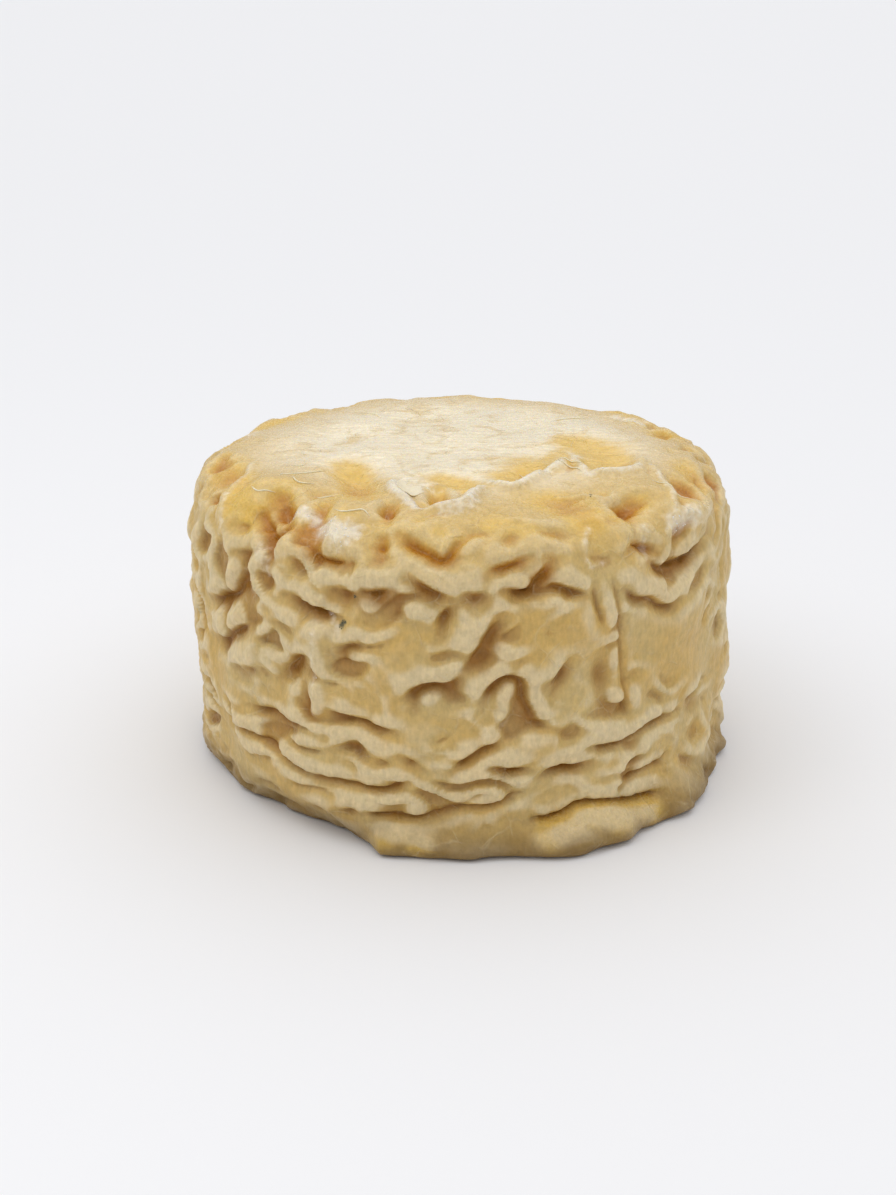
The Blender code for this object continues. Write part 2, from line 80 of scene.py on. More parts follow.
# The folds of rind, the swell of the body and the spread of the foot, as the solid has them, apart
# from the fine folds, which stand higher here
WALL_FOLD = 0.85 * MM
WALL_PIT = 1.3 * MM
SHOULDER_FOLD = 1.0 * MM
SHOULDER_PIT = 1.7 * MM
FADING_LENGTH = 9.0 * MM
PIT_LENGTH = 8.0 * MM
FOLD_LENGTH = 10.5 * MM
FOLD_FLATNESS = 1.5
LYING_LENGTH = 19.0 * MM
LYING_FLATNESS = 3.6
FINE_LENGTH = 5.5 * MM
FINE_SHARE = 0.55
FOLD_REACH = 0.55
PIT_REACH = 2.3
FADING_RANGE = (-0.9, 0.6)
FADED_SHARE = 0.35
PIT_RANGE = (-0.6, 0.7)
WANDER = 0.55 * MM
WANDER_LENGTH = 6.5 * MM
SWELL_HEIGHT = 0.4 * MM
SWELL_LENGTH = 14.0 * MM
LAID_HALF_ANGLE = math.radians(60)
LAID_BLEND = math.radians(15)
LAID_SHARE = 0.8
PRESSED_TOP = 22.0 * MM
PRESSED_BLEND = 8.0 * MM
PLATE_START = 53.0 * MM
PLATE_FULL = 64.0 * MM
PLATE_LOWER = 7.0 * MM
FOOT_SPREAD_TOP = 7.0 * MM
FOOT_UNEVENNESS = 0.14 * MM
FOOT_UNEVEN_LENGTH = 6.0 * MM

# Rises between which the shoulder, its wet pockets, the cream of the top and the free wall above
# the foot begin, and between which the darker foot ends; that darkening is partly the skin's own
# tone and partly painted shade near the ground
SHOULDER_RISES = (41 * MM, 48 * MM)
POCKET_RISES = (44 * MM, 50 * MM)
CREAM_RISES = (56 * MM, 74 * MM)
FREE_RISES = (0.5 * MM, 3 * MM)
FOOT_TONE_AND_SHADE_RISES = (1 * MM, 9 * MM)

# Past these azimuths, away from the front, the plate of the top reaches lower
PLATE_AZIMUTHS = (math.radians(45), math.radians(80))

# A crevice this deep, and a crest this high over what is round it, has its full colour: ochre
# darkened as painted shade in a crevice, pale and partly painted light on a crest
FULL_CREVICE = 1.5 * MM
FULL_CREST = 0.45 * MM

# What a laid crevice leaves of the folds of the rule, and what the top's plate leaves of the swell
KEPT_IN_CREVICE = 0.4
KEPT_SWELL = 0.3

# A laid fold, with lengths as multiples of its half width: how far from its route it is felt, over
# what length it rises from its ends and from what share, how flat its bottom is, and how much
# steeper its upper side is
FOLD_FELT = 3.2
END_LENGTH = 2.2
END_SHARE = 0.4
BOTTOM_FLATNESS = 2.1
UPPER_STEEPNESS = 0.32
STEEPNESS_BLEND = 0.35

# The small lip above a laid crevice, and where the rind above it hangs over: how far above the
# middle of the crevice each is strongest, and how far it reaches across and along
LIP_HEIGHT = 0.2
LIP_ABOVE, LIP_ACROSS, LIP_ALONG = 1.5, 0.8, 2.4
HANG_ABOVE, HANG_ACROSS, HANG_ALONG = 0.9, 0.7, 2.0

# How far from its route a stroke is felt, as a multiple of its half width
STROKE_FELT = 2.6

# Points of the rind: columns round the wall, the rise between rings, the rise where the top starts,
# and the radii on the top below which columns are halved
COLUMNS = 608
RING_STEP = 0.45 * MM
TOP_RISE = 50 * MM
HALVED_BELOW = (27.0 * MM, 14.0 * MM, 7.0 * MM, 3.5 * MM)

# Windows over which fields of the rind are averaged, as columns and rings to each side of a point,
# and how much of the unaveraged relief is kept
HANG_WINDOW = (2, 1)
RELIEF_WINDOW = (1, 1)
CREST_WINDOW = (5, 5)
KEPT_SHARPNESS = 0.5

# How far the rind hangs over a crevice, as a share of the crevice's depth
HANG_SHARE = 0.5

# The lip over each pit that follows the rule: how many rings above it, and how far it stands out
LIP_RINGS = 2
LIP_SHARE = 0.35

# What bends the stretch lines, so that none is straight, and how much they are drawn out upright
BEND_REACH = 3.0 * MM
BEND_LENGTH = 7.0 * MM
DRAWN_OUT = (1, 1, 0.16)

# Sizes of the patterns in the rind's colour and gloss
MOTTLE_LENGTH = 9.0 * MM
SWIRL_LENGTH = 6.0 * MM
SPECKLE_LENGTH = 1.1 * MM
FIBRE_SPACING = 0.5 * MM
PORE_SPACING = 0.35 * MM
STREAK_SPACING = 1.1 * MM
BUMP_HEIGHT = 0.22 * MM

# How the fibres of the wall and the streaks of the top are drawn out
FIBRE_STRETCH = (1, 1, 0.4)
STREAK_STRETCH = (0.1, 1, 1)

# Thin pale veins that stand a little proud of the skin: how far apart, how bent and how wide
VEIN_SPACING = 4.2 * MM
VEIN_BEND = 3.4 * MM
VEIN_BEND_LENGTH = 5.0 * MM
VEIN_SHARE = 0.055

# How each finish comes in: between which values of its pattern or field, and up to what share, or
# from and to what value
RAMPS = {
    "straw": {"From Min": 0.38, "From Max": 0.62},
    "damp": {"To Max": 0.75},
    "straw_swirls": {"From Min": 0.5, "From Max": 0.68, "To Max": 0.45},
    "wet": {"From Min": 0.5, "From Max": 1.35},
    # Crests take a pale colour that is partly dry skin, partly painted light on the raised folds
    "crest": {"From Min": 0.05, "From Max": 0.95, "To Max": 0.7},
    "dry": {"To Min": 1.0, "To Max": 0.5},
    # Where the rind lies lower than round it, it takes the crevices' ochre, darkened as painted shade
    "hollow_ochre_and_shade": {"From Min": -0.15, "From Max": -1.0, "To Max": 0.5},
    "deep": {"From Min": 0.22, "From Max": 0.95},
    # The foot's colour is partly the skin's own yellower tone, partly painted shade near the ground
    "foot": {"To Max": 0.85},
    "spared": {"To Min": 1.0, "To Max": 0.3},
    "vein": {"From Max": VEIN_SHARE, "To Min": 1.0, "To Max": 0.0},
    "vein_shown": {"From Min": 0.5, "From Max": 0.62},
    "bloom": {"From Min": 0.8, "From Max": 1.5, "To Max": 0.65},
    "mould": {"From Min": 0.8, "From Max": 1.3, "To Max": 0.85},
    "value": {"From Min": 0.7, "From Max": 1.3, "To Min": 0.88, "To Max": 1.1},
    "roughness": {"From Max": 0.6, "To Min": 0.46, "To Max": 0.22},
    "crumb_cover": {"From Min": 0.45, "From Max": 1.0},
    "thread_taper": {"From Min": 0.2, "From Max": 0.5, "To Min": 1.0, "To Max": 0.15},
    "crumb_value": {"To Min": 0.85, "To Max": 1.1},
}
VEIN_PALENESS = 0.2

# Moist fat and protein, which lets light in for about a millimetre, red the furthest
RIND_SHADER = {
    "IOR": 1.44,
    "Subsurface Weight": 0.35,
    "Subsurface Radius": (1.0, 0.8, 0.4),
    "Subsurface Scale": 0.9 * MM,
}
CRUMB_GLOW = {"Subsurface Radius": (1.0, 0.8, 0.5), "Subsurface Scale": 0.5 * MM}

# Crumbs: how deep and how far apart their dents are, how flat they are, and the smallest as a share
# of the largest
CRUMB_DENTS = 0.15 * MM
CRUMB_FLATNESS = 0.6
SMALLEST_CRUMB = 0.3

# Specks of mould for each square metre where the mould is thickest, and their width
MOULD_PER_AREA = 2.0e7
MOULD_SIZE = 0.22 * MM

# How far the middle of a thread lies over the rind, in millimetres, and how far off the body a
# search for the rind starts
THREAD_LIFT = 0.06
SEARCH_START = 8 * MM

# The photograph's frame, in pixels, and the camera that was fitted to it
PHOTO_HEIGHT = 1195
FOCAL_PIXELS = 1650
CAMERA_PLACE = (-2.06 * MM, -250.0 * MM, 120.9 * MM)
CAMERA_PITCH = 0.37
SENSOR_WIDTH = 36.0
SIGHT_RANGE = (0.01, 30.0)

# The floor's radius in metres, the wide lamp's angles in degrees, and where the window lamp hangs
# and how large it is in metres
FLOOR_RADIUS = 12.0
LAMP_TILT = -8
LAMP_ANGLE = 120
WINDOW_PLACE = (-0.16, -0.1, 0.3)
WINDOW_SIZE = (0.12, 0.2)


class Fold(NamedTuple):
    """A crevice in the rind, or a raised lip where depth is negative. Depth and half width are in
    millimetres. The route's points are azimuth in degrees, 0 at the front and growing to the
    right, and rise in millimetres, measured up the surface from the foot."""

    depth: float
    half_width: float
    route: tuple


class Stroke(NamedTuple):
    """A soft stroke of a finish over the rind. The half width is in millimetres, and the route is
    written as a fold's is."""

    strength: float
    half_width: float
    route: tuple


# Where the rind is stretched smooth
CALM_STROKES = (
    Stroke(1.0, 6.0, ((38, 33), (50, 27), (62, 24))),
    Stroke(0.9, 4.0, ((-60, 8), (-42, 7), (-25, 8))),
    Stroke(0.5, 3.0, ((-17, 36), (-14, 30))),
    Stroke(0.5, 3.0, ((12, 38), (14, 32))),
    Stroke(0.7, 3.4, ((23, 37), (25, 30), (24, 24))),
    Stroke(0.9, 4.0, ((22, 58), (26, 50), (24, 44))),
    Stroke(0.8, 2.4, ((-22, 43), (-12, 45))),
    Stroke(0.9, 3.0, ((-18, 4), (8, 4), (30, 4), (58, 5))),
    Stroke(0.6, 3.0, ((-56, 21), (-44, 22))),
    Stroke(0.9, 4.0, ((-54, 58), (-53, 49))),
    Stroke(0.8, 4.0, ((-36, 57), (-26, 51))),
    Stroke(0.7, 3.4, ((-14, 54), (6, 53))),
    Stroke(0.8, 4.0, ((50, 58), (60, 53))),
    Stroke(0.9, 5.0, ((118, 20), (124, 34))),
    Stroke(0.9, 5.0, ((-150, 26), (-136, 33))),
    Stroke(0.65, 2.6, ((-137.5, 8.2), (-130.5, 7))),
    Stroke(0.8, 4.0, ((168, 8), (-176, 10))),
    Stroke(0.8, 5.0, ((-120, 56), (-108, 52))),
    Stroke(0.8, 5.0, ((140, 57), (154, 52))),
)

# Routes that a lip and the bloom on it share
LEFT_LOBE_RIM = ((-78, 55.5), (-70, 53.3), (-65, 50.3), (-61.5, 48), (-57.5, 45))
FLAP_EDGE = ((-28, 66.4), (-24.5, 64), (-21, 62), (-15.5, 59.6), (-11.5, 57))
RISING_WEB = ((-11.5, 57), (-6.5, 57), (-2.8, 56.8), (0.8, 57.4), (4.2, 62), (8.2, 66.5))
RIGHT_WRINKLE = ((74, 57.5), (65, 54.5), (58, 51.5), (51, 48))
PANEL_RIM = ((28, 49.8), (25.2, 47), (25, 45), (27, 43.8), (30, 44.4))

# Hollows and raised lips of the shoulder
SHOULDER_POCKETS = (
    Fold(1.3, 3.2, ((-80, 50.5), (-72, 51.5), (-66, 51))),
    Fold(1.8, 1.2, ((-68.5, 48.2), (-64.5, 48))),
    Fold(2.8, 1.7, ((-49, 49.4), (-45.5, 48.2), (-42.5, 46.6))),
    Fold(2.6, 1.6, ((-48, 53.5), (-43.5, 51.5), (-40, 49.6))),
    Fold(1.2, 1.0, ((-54, 46), (-49.5, 47))),
    Fold(1.6, 2.8, ((-62, 68), (-45, 66), (-35, 62.5), (-29, 59))),
    Fold(1.2, 1.5, ((-42, 59), (-41.5, 55.5))),
    Fold(1.3, 1.5, ((-36, 56), (-34, 52), (-32, 49))),
    Fold(2.2, 1.3, ((-19, 57.5), (-18, 55), (-17, 53.4))),
    Fold(2.8, 1.3, ((-9.2, 67), (-7.5, 63.5), (-6.3, 60.3))),
    Fold(1.0, 2.4, ((-8, 71), (-1, 69.5), (4, 67))),
    Fold(2.0, 1.1, ((2, 65.5), (3.4, 64))),
    Fold(1.3, 1.8, ((28, 69.5), (36, 70.8), (44, 71.5))),
    Fold(1.4, 3.6, ((27, 59), (29, 54), (29, 51))),
    Fold(3.2, 1.8, ((39, 50.8), (41.5, 52.3), (46, 53.4))),
    Fold(1.5, 3.6, ((66, 66), (74, 62.8), (84, 64))),
    Fold(1.2, 1.8, ((70, 53), (62, 50.2), (56, 48.8))),
    Fold(1.4, 2.6, ((76, 52), (74, 50), (72, 48.5))),
)

SHOULDER_LIPS = (
    Fold(-1.0, 3.2, ((-92, 50), (-77, 52))),
    Fold(-0.9, 1.0, LEFT_LOBE_RIM),
    Fold(-1.0, 3.0, ((-55, 57), (-54, 52), (-55, 48))),
    Fold(-1.1, 2.4, ((-28, 53.5), (-26, 50))),
    Fold(-1.1, 0.9, FLAP_EDGE),
    Fold(-1.3, 1.3, RISING_WEB),
    Fold(-1.2, 1.2, ((13, 68), (15.5, 65.8), (19, 64.5), (25, 65.5), (32, 67.2), (41.8, 68.3))),
    Fold(-1.2, 1.2, ((41.8, 68.3), (55, 69), (68, 70))),
    Fold(-1.1, 1.1, ((74, 69), (66, 68.3), (59, 66.5), (50, 63.3))),
    Fold(-1.1, 1.1, ((50, 63.3), (55, 62), (60, 59.8), (68, 58.6), (80, 59.5))),
    Fold(-0.6, 0.7, RIGHT_WRINKLE),
    Fold(-0.9, 2.6, ((48, 57), (53, 54))),
    Fold(-1.3, 2.0, ((48, 46.6), (57, 47), (65, 47))),
    Fold(-0.5, 0.6, PANEL_RIM),
)

# Upright ribs on the wall, and the rim of the foot
RIBS_AND_RIM = (
    Fold(-0.7, 1.2, ((-29, 36), (-29.5, 29), (-30, 23), (-30.5, 19))),
    Fold(-0.5, 0.8, ((29.5, 41), (31, 34), (32, 28))),
    Fold(-0.9, 1.8, ((-17, 3.2), (-15, 4.5), (-8, 4), (-3, 3.2))),
    Fold(-0.9, 2.2, ((15, 3.5), (25, 4.5), (35, 3.5), (45, 3))),
)

# Crevices of the wall, from its top to the foot
WALL_GROOVES = (
    Fold(2.6, 1.5, ((-47, 48.5), (-44, 47.3), (-42, 45.5), (-41, 43.5), (-41.8, 42.3))),
    Fold(1.8, 1.2, ((-33, 46.1), (-30, 45.4), (-27, 45.2), (-22, 45))),
    Fold(2.6, 1.4, ((-16.4, 49.4), (-15.8, 46.6))),
    Fold(1.9, 1.3, ((-13, 50.2), (-7, 48), (-3.3, 46.6), (-0.5, 48.8))),
    Fold(2.8, 1.7, ((-25, 40.6), (-22, 40.4), (-20.5, 40.6))),
    Fold(2.8, 1.6, ((-19, 40.9), (-16, 41.3), (-13, 41.7))),
    Fold(2.0, 1.3, ((-10, 43.8), (-7.5, 42.8), (-5, 41.8), (-2, 40.9))),
    Fold(2.8, 1.6, ((1.4, 41.5), (3.8, 41.3))),
    Fold(2.2, 1.3, ((8, 42.2), (12.5, 41.8), (15, 43.4), (18, 45.8))),
    Fold(1.6, 1.2, ((16, 43.2), (21, 41.3), (24, 40))),
    Fold(1.6, 1.1, ((4.5, 44.2), (7, 45.4), (12, 46.3), (14, 46.4))),
    Fold(1.5, 1.1, ((16.5, 46.4), (19, 46))),
    Fold(2.2, 1.2, ((35.5, 45.4), (38, 46), (41, 45), (43, 44))),
    Fold(2.0, 1.3, ((40, 43), (42.7, 41.6), (47, 41.2), (54, 41.6), (58, 42))),
    Fold(1.6, 1.0, ((45, 38.5), (45.7, 40), (48, 40.4), (51.3, 40.2), (56, 41))),
    Fold(1.5, 1.1, ((33, 40), (36, 38.2), (40, 37.4), (43, 35.8), (46, 35.2), (48.5, 35.8))),
    Fold(1.1, 0.7, ((26, 41.5), (26.4, 39), (28, 35))),
    Fold(0.9, 0.65, ((30.5, 41.5), (31.5, 36), (33.3, 29), (35, 20))),
    Fold(1.2, 1.8, ((28, 31), (28.5, 27), (28, 23.5))),
    Fold(1.8, 1.3, ((-47, 40), (-50, 38), (-53, 35.5), (-64, 32))),
    Fold(1.7, 1.4, ((-62, 26.3), (-57, 27.3), (-53, 29.5), (-49, 31.2), (-46, 31.8))),
    Fold(1.8, 1.2, ((-35.5, 38.8), (-32, 38), (-28, 37.4), (-24, 36.6))),
    Fold(1.7, 1.3, ((-26, 31.2), (-23.5, 31.8), (-21.3, 32.6))),
    Fold(1.7, 1.4, ((-31, 29.8), (-34.5, 29.2), (-36, 27.5), (-39, 25))),
    Fold(1.5, 1.1, ((-32.5, 25.5), (-31.3, 23), (-31.3, 20.8))),
    Fold(1.7, 1.2, ((-1, 40), (-3.3, 38.3), (-4, 35.3))),
    Fold(1.7, 1.5, ((7.5, 38.5), (5, 35), (2, 31.5), (-0.5, 29.5))),
    Fold(1.9, 1.3, ((-9.2, 24.5), (-9, 27.3), (-6, 28.2), (-2, 28.2), (0, 29.6))),
    Fold(1.8, 1.1, ((4, 25.2), (5.5, 27.5), (8, 29.3), (11, 28.8), (12, 25.5), (15, 21.5))),
    Fold(1.6, 1.2, ((16, 27.3), (19, 28.3), (21, 31))),
    Fold(1.5, 1.0, ((-28, 22.3), (-20, 21.7), (-17, 21), (-13, 20.8))),
    Fold(1.5, 1.0, ((-2, 15), (0, 16.5), (4, 18.4), (8, 19.6))),
    Fold(1.5, 0.9, ((6, 15), (10, 14.8), (13.5, 14.6))),
    Fold(2.0, 1.2, ((16, 13.2), (19.5, 14.4), (22, 14.2), (26, 14.2))),
    Fold(1.5, 0.9, ((26, 16.8), (32, 16.2), (35, 16.4), (40, 17.3), (48, 17.4))),
    Fold(1.2, 0.9, ((33, 16), (36, 15.2), (39, 16))),
    Fold(1.4, 0.9, ((34, 11.3), (35.2, 12.3), (38, 12.7), (40, 12.5))),
    Fold(1.1, 1.3, ((50, 9.8), (54, 8.3), (58, 6.8))),
    Fold(0.9, 1.8, ((52, 18.5), (57, 17), (62, 15.5))),
    Fold(1.4, 0.8, ((-60, 14.2), (-50, 14.3), (-45, 13.8), (-40, 12.9), (-36, 11.8), (-31, 11.3))),
    Fold(1.5, 0.9, ((-33, 11.4), (-24, 11.5), (-16, 11.4), (-11, 13))),
    Fold(1.0, 0.7, ((-38, 15.8), (-34, 15.2), (-29, 15.4))),
    Fold(0.9, 0.7, ((-38, 8.6), (-34, 8.9), (-30, 9.4), (-27, 8.8))),
    Fold(1.3, 0.9, ((-26, 6.5), (-23, 7), (-20.5, 6.8))),
    Fold(1.0, 0.8, ((-33, 5.8), (-30.5, 6), (-28.5, 5.5))),
    Fold(0.8, 0.7, ((-50, 6), (-45, 6.5), (-41, 5.8))),
    Fold(1.4, 0.8, ((-20, 7.2), (-12, 7.2), (-6, 7.6), (0, 9.2), (5, 9.5), (11, 11))),
    Fold(1.6, 0.8, ((14, 6.3), (20, 6.8), (24, 8.2), (30, 7.8), (36, 6.5), (45, 5.2))),
    Fold(1.3, 0.9, ((33, 9.5), (42, 10.4), (47, 9.6))),
    Fold(1.4, 1.0, ((-12, 39.5), (-11.5, 38.5), (-10.5, 37.5))),
    Fold(1.4, 1.1, ((-50, 25), (-45, 24.9))),
    Fold(1.5, 1.1, ((-49, 18.6), (-46, 18.6), (-42, 19), (-38, 18.4), (-33, 18.6))),
    Fold(1.5, 1.3, ((-52, 42), (-49, 42.6), (-46, 43.4))),
    Fold(1.6, 1.1, ((-12, 17.2), (-10, 16.4), (-8, 15.3))),
)

# Short pits between the crevices
PITS = (
    Fold(1.8, 1.1, ((9.7, 49.2), (10.6, 49.6))),
    Fold(1.6, 1.2, ((4, 50.5), (5, 50.5))),
    Fold(1.6, 1.1, ((-22.5, 16.9), (-20.5, 16.8))),
    Fold(1.6, 1.1, ((-38.5, 34), (-36.3, 33.8))),
    Fold(1.4, 0.9, ((-40.8, 39.7), (-39.8, 39.7))),
    Fold(1.6, 1.3, ((33.5, 50), (34.5, 50))),
    Fold(0.8, 2.0, ((26, 46), (30, 46))),
)

LAID_CREVICES = SHOULDER_POCKETS + WALL_GROOVES + PITS
LAID_LIPS = SHOULDER_LIPS + RIBS_AND_RIM

# How far the foot's edge spreads at azimuths in degrees, in millimetres. It curls under at the
# front left, and has sagged outwards at the front right.
FOOT_SPREAD = (
    (-180, 0.5), (-140, 0.1), (-110, 0.5), (-95, 0.4), (-80, -0.4), (-64, -0.9), (-50, -2.7),
    (-27, -3.6), (-19, -0.4), (-16, 1.8), (-6, 1.7), (4, 1.1), (10, 1.6), (16, 3.2), (23, 3.7),
    (33, 3.1), (37, 1.8), (41, 2.5), (50, 2.5), (60, 2.0), (75, 1.2), (90, 0.1), (120, 0.7),
    (150, 0.1), (180, 0.5),
)

# Pockets where the paste shows through thin wet rind
BUTTER_STROKES = (
    Stroke(0.9, 3.2, ((-82, 50.5), (-73, 51.5), (-66, 51))),
    Stroke(1.0, 4.2, ((-60, 49.5), (-54, 50), (-48, 50.5))),
    Stroke(1.0, 2.8, ((-50, 54), (-45, 52), (-41, 50))),
    Stroke(0.9, 3.6, ((-60, 68), (-45, 66), (-36, 62.5), (-30, 59))),
    Stroke(0.8, 2.6, ((-34, 54), (-30, 52))),
    Stroke(0.9, 3.0, ((-10, 71), (-1, 69.5), (5, 67))),
    Stroke(1.0, 1.8, ((-9, 67), (-7.5, 63.5), (-6.3, 60.3))),
    Stroke(1.0, 3.4, ((24, 70.5), (36, 71.5), (48, 72.5))),
    Stroke(0.9, 4.2, ((26, 59.5), (29, 55), (29, 51.5))),
    Stroke(1.0, 2.4, ((38, 50.5), (43, 51.5), (47, 52.5))),
    Stroke(1.0, 5.0, ((64, 65.5), (74, 64), (86, 65.5), (94, 68))),
    Stroke(0.6, 4.5, ((50, 75), (62, 73), (74, 71.5))),
    Stroke(0.7, 2.8, ((77, 52), (74, 50), (71, 48.6))),
    Stroke(0.6, 2.2, ((62, 50.2), (56, 48.8))),
    Stroke(0.5, 3.0, ((-14, 51.5), (-4, 49.5))),
    Stroke(0.5, 3.0, ((8, 52), (14, 50))),
    Stroke(0.7, 3.0, ((110, 50), (122, 52), (134, 50))),
    Stroke(0.8, 3.2, ((150, 49), (163, 51), (172, 53))),
    Stroke(0.7, 3.0, ((-110, 49), (-121, 52), (-131, 50))),
    Stroke(0.8, 3.0, ((-152, 50), (-160, 48), (-171, 49))),
    Stroke(0.7, 1.8, ((-16, 3.5), (-12, 4.5), (-8, 3.5))),
    Stroke(0.8, 2.0, ((16, 4.5), (24, 6), (33, 5), (42, 4))),
)

# White bloom, and skin that has dried pale; along the flap's curled rim the white is partly painted
# highlight
BLOOM_STROKES = (
    Stroke(0.9, 1.7, ((-40.5, 51.3), (-37, 51.5), (-34.5, 51.2))),
    Stroke(1.0, 2.6, ((-30, 50), (-27.5, 49.3), (-24, 49.3))),
    # Partly bloom, partly painted highlight along the flap's lit curled rim
    Stroke(1.0, 1.1, FLAP_EDGE),
    Stroke(0.6, 2.6, ((-24, 68), (-17, 66), (-12, 68))),
    Stroke(0.9, 1.3, RISING_WEB),
    Stroke(0.7, 1.8, ((-4, 55), (1, 56), (4, 59))),
    Stroke(0.8, 1.1, ((13, 68), (15.5, 65.8), (19, 64.5), (25, 65.5), (32, 67.2), (41.8, 68.3), (55, 69))),
    Stroke(0.8, 1.2, ((74, 69), (66, 68.3), (59, 66.5), (50, 63.3), (55, 62), (60, 59.8), (68, 58.6))),
    Stroke(0.6, 0.8, RIGHT_WRINKLE),
    Stroke(0.6, 0.9, LEFT_LOBE_RIM),
    Stroke(0.8, 2.2, ((49, 46.5), (55, 46.8))),
    Stroke(0.6, 1.5, ((41, 47.5), (40, 44))),
    Stroke(0.5, 1.0, PANEL_RIM),
    Stroke(0.6, 1.3, ((-45, 44), (-41, 41))),
    Stroke(0.6, 1.2, ((-27, 37.5), (-24.5, 35))),
    Stroke(0.5, 0.8, ((-29, 34), (-29.7, 27), (-30.4, 21))),
    Stroke(0.4, 1.4, ((3, 20.5), (8, 22))),
    Stroke(0.8, 2.6, ((118, 52), (126, 54))),
    Stroke(0.7, 2.4, ((-165, 50), (-157, 48))),
    Stroke(0.6, 2.0, ((160, 63), (168, 66))),
    Stroke(0.6, 2.0, ((-112, 51), (-105, 53))),
)

# Specks of blue-green mould
MOULD_STROKES = (
    Stroke(1.0, 0.55, ((-23.4, 35.6), (-23.0, 36.0))),
    Stroke(0.85, 0.4, ((-20.8, 39.9), (-20.5, 40.1))),
    Stroke(0.85, 0.4, ((38.6, 57.5), (39.0, 57.6))),
)

# Pale threads on the shoulder whose colour paints the thin highlights on the wet skin, as azimuth in
# degrees and rise in millimetres
HIGHLIGHT_THREADS = (
    ((-68.5, 60), (-66, 61.5), (-69, 62.5)),
    ((-57, 51.5), (-53.5, 51.3), (-50.5, 53)),
    ((-63, 58), (-60, 57), (-57.5, 59), (-58.5, 64)),
    ((-55, 57.5), (-51, 57), (-48, 59)),
    ((-43, 57), (-40, 56.3), (-37, 57.5)),
    ((-31, 53), (-28, 52.5), (-24, 53.5), (-21, 52.5)),
    ((52, 70), (54, 67), (50, 64)),
    ((58, 71), (60, 68), (55, 65)),
    ((34, 72), (36, 69), (36.5, 67)),
    ((60, 55), (59, 51), (60, 48)),
    ((128, 60), (132, 62), (134, 66)),
    ((-140, 61), (-144, 63), (-143, 66)),
)

# The torn flap, row by row from where it is attached to its free rim: lift in millimetres and route
TORN_SKIN = (
    (-0.2, ((-27, 69.5), (-22, 70), (-17, 70.3), (-12, 70))),
    (-0.12, ((-26.5, 67.2), (-22, 67.2), (-17.5, 67.2), (-12.5, 67.2))),
    (-0.06, ((-24.5, 65), (-21, 64.9), (-17.3, 64.8), (-13.5, 65.1))),
    (0.0, ((-21.8, 63), (-19.3, 62.8), (-16.9, 62.8), (-14.2, 63.2))),
    (0.1, ((-18.8, 61.6), (-17.6, 61.3), (-16.4, 61.3), (-15, 61.6))),
    (0.14, ((-17.4, 60.8), (-16.8, 60.6), (-16.2, 60.6), (-15.6, 60.8))),
)


def smooth_step(low, high, value):
    """0 below low, 1 above high, and an even curve between them."""
    share = np.clip((value - low) / (high - low), 0, 1)
    return share * share * (3 - 2 * share)


def wheel_outline():
    """The turned body's outline from the foot's flat to the middle of the top, as radius and height."""
    turn = np.linspace(0, math.pi / 2, 20)
    foot = np.column_stack(
        (
            FOOT_RADIUS - FOOT_ROUNDING * (1 - np.sin(turn)),
            FOOT_ROUNDING * (1 - np.cos(turn)),
        )
    )
    height = np.linspace(FOOT_ROUNDING, SHOULDER_START, 120)[1:]
    below = (SHOULDER_START - height) / (SHOULDER_START - FOOT_ROUNDING)
    wall = np.column_stack((WALL_RADIUS - (WALL_RADIUS - FOOT_RADIUS) * below**3, height))
    turn = np.linspace(math.pi / 2, 0, 400)[1:]
    dome = np.column_stack(
        (
            WALL_RADIUS * np.sin(turn) ** (2 / TOP_FLATNESS),
            SHOULDER_START
            + (WHEEL_HEIGHT - SHOULDER_START) * np.cos(turn) ** (2 / EDGE_ROUNDING),
        )
    )
    return np.concatenate((foot, wall, dome))


OUTLINE = wheel_outline()
RISE = np.concatenate(([0], np.cumsum(np.hypot(*np.diff(OUTLINE, axis=0).T))))


def on_body(azimuth, rise):
    """Points of the smooth body at an azimuth in radians and a rise in metres."""
    radius = np.interp(rise, RISE, OUTLINE[:, 0])
    height = np.interp(rise, RISE, OUTLINE[:, 1])
    lean = LEAN * (0.5 - height / WHEEL_HEIGHT)
    return np.column_stack(
        (radius * np.sin(azimuth) + lean, -radius * np.cos(azimuth), height)
    )


def outward(azimuth, rise):
    """The body's outward direction at the same places."""
    ahead = np.clip(rise + SLOPE_STEP, 0, RISE[-1])
    behind = np.clip(rise - SLOPE_STEP, 0, RISE[-1])
    run = np.interp(ahead, RISE, OUTLINE[:, 0]) - np.interp(behind, RISE, OUTLINE[:, 0])
    climb = np.interp(ahead, RISE, OUTLINE[:, 1]) - np.interp(behind, RISE, OUTLINE[:, 1])
    length = np.hypot(run, climb)
    side, up = climb / length, -run / length
    return np.column_stack((side * np.sin(azimuth), -side * np.cos(azimuth), up))


def ripple(points, length, seed, waves=40):
    """An uneven field of unit size with no direction of its own, made of waves of about one length."""
    draw = np.random.default_rng(seed)
    heading = draw.normal(size=(waves, 3))
    heading /= np.linalg.norm(heading, axis=1)[:, None]
    pitch = 2 * math.pi / length * draw.uniform(0.8, 1.25, waves)
    phase = draw.uniform(0, 2 * math.pi, waves)
    return np.cos(points @ (heading * pitch[:, None]).T + phase).sum(axis=1) * math.sqrt(2 / waves)


def wander(points, reach, length, seed):
    """Points moved about unevenly, so that what is drawn from them has no straight lines."""
    return points + reach * np.column_stack([ripple(points, length, seed + k) for k in range(3)])


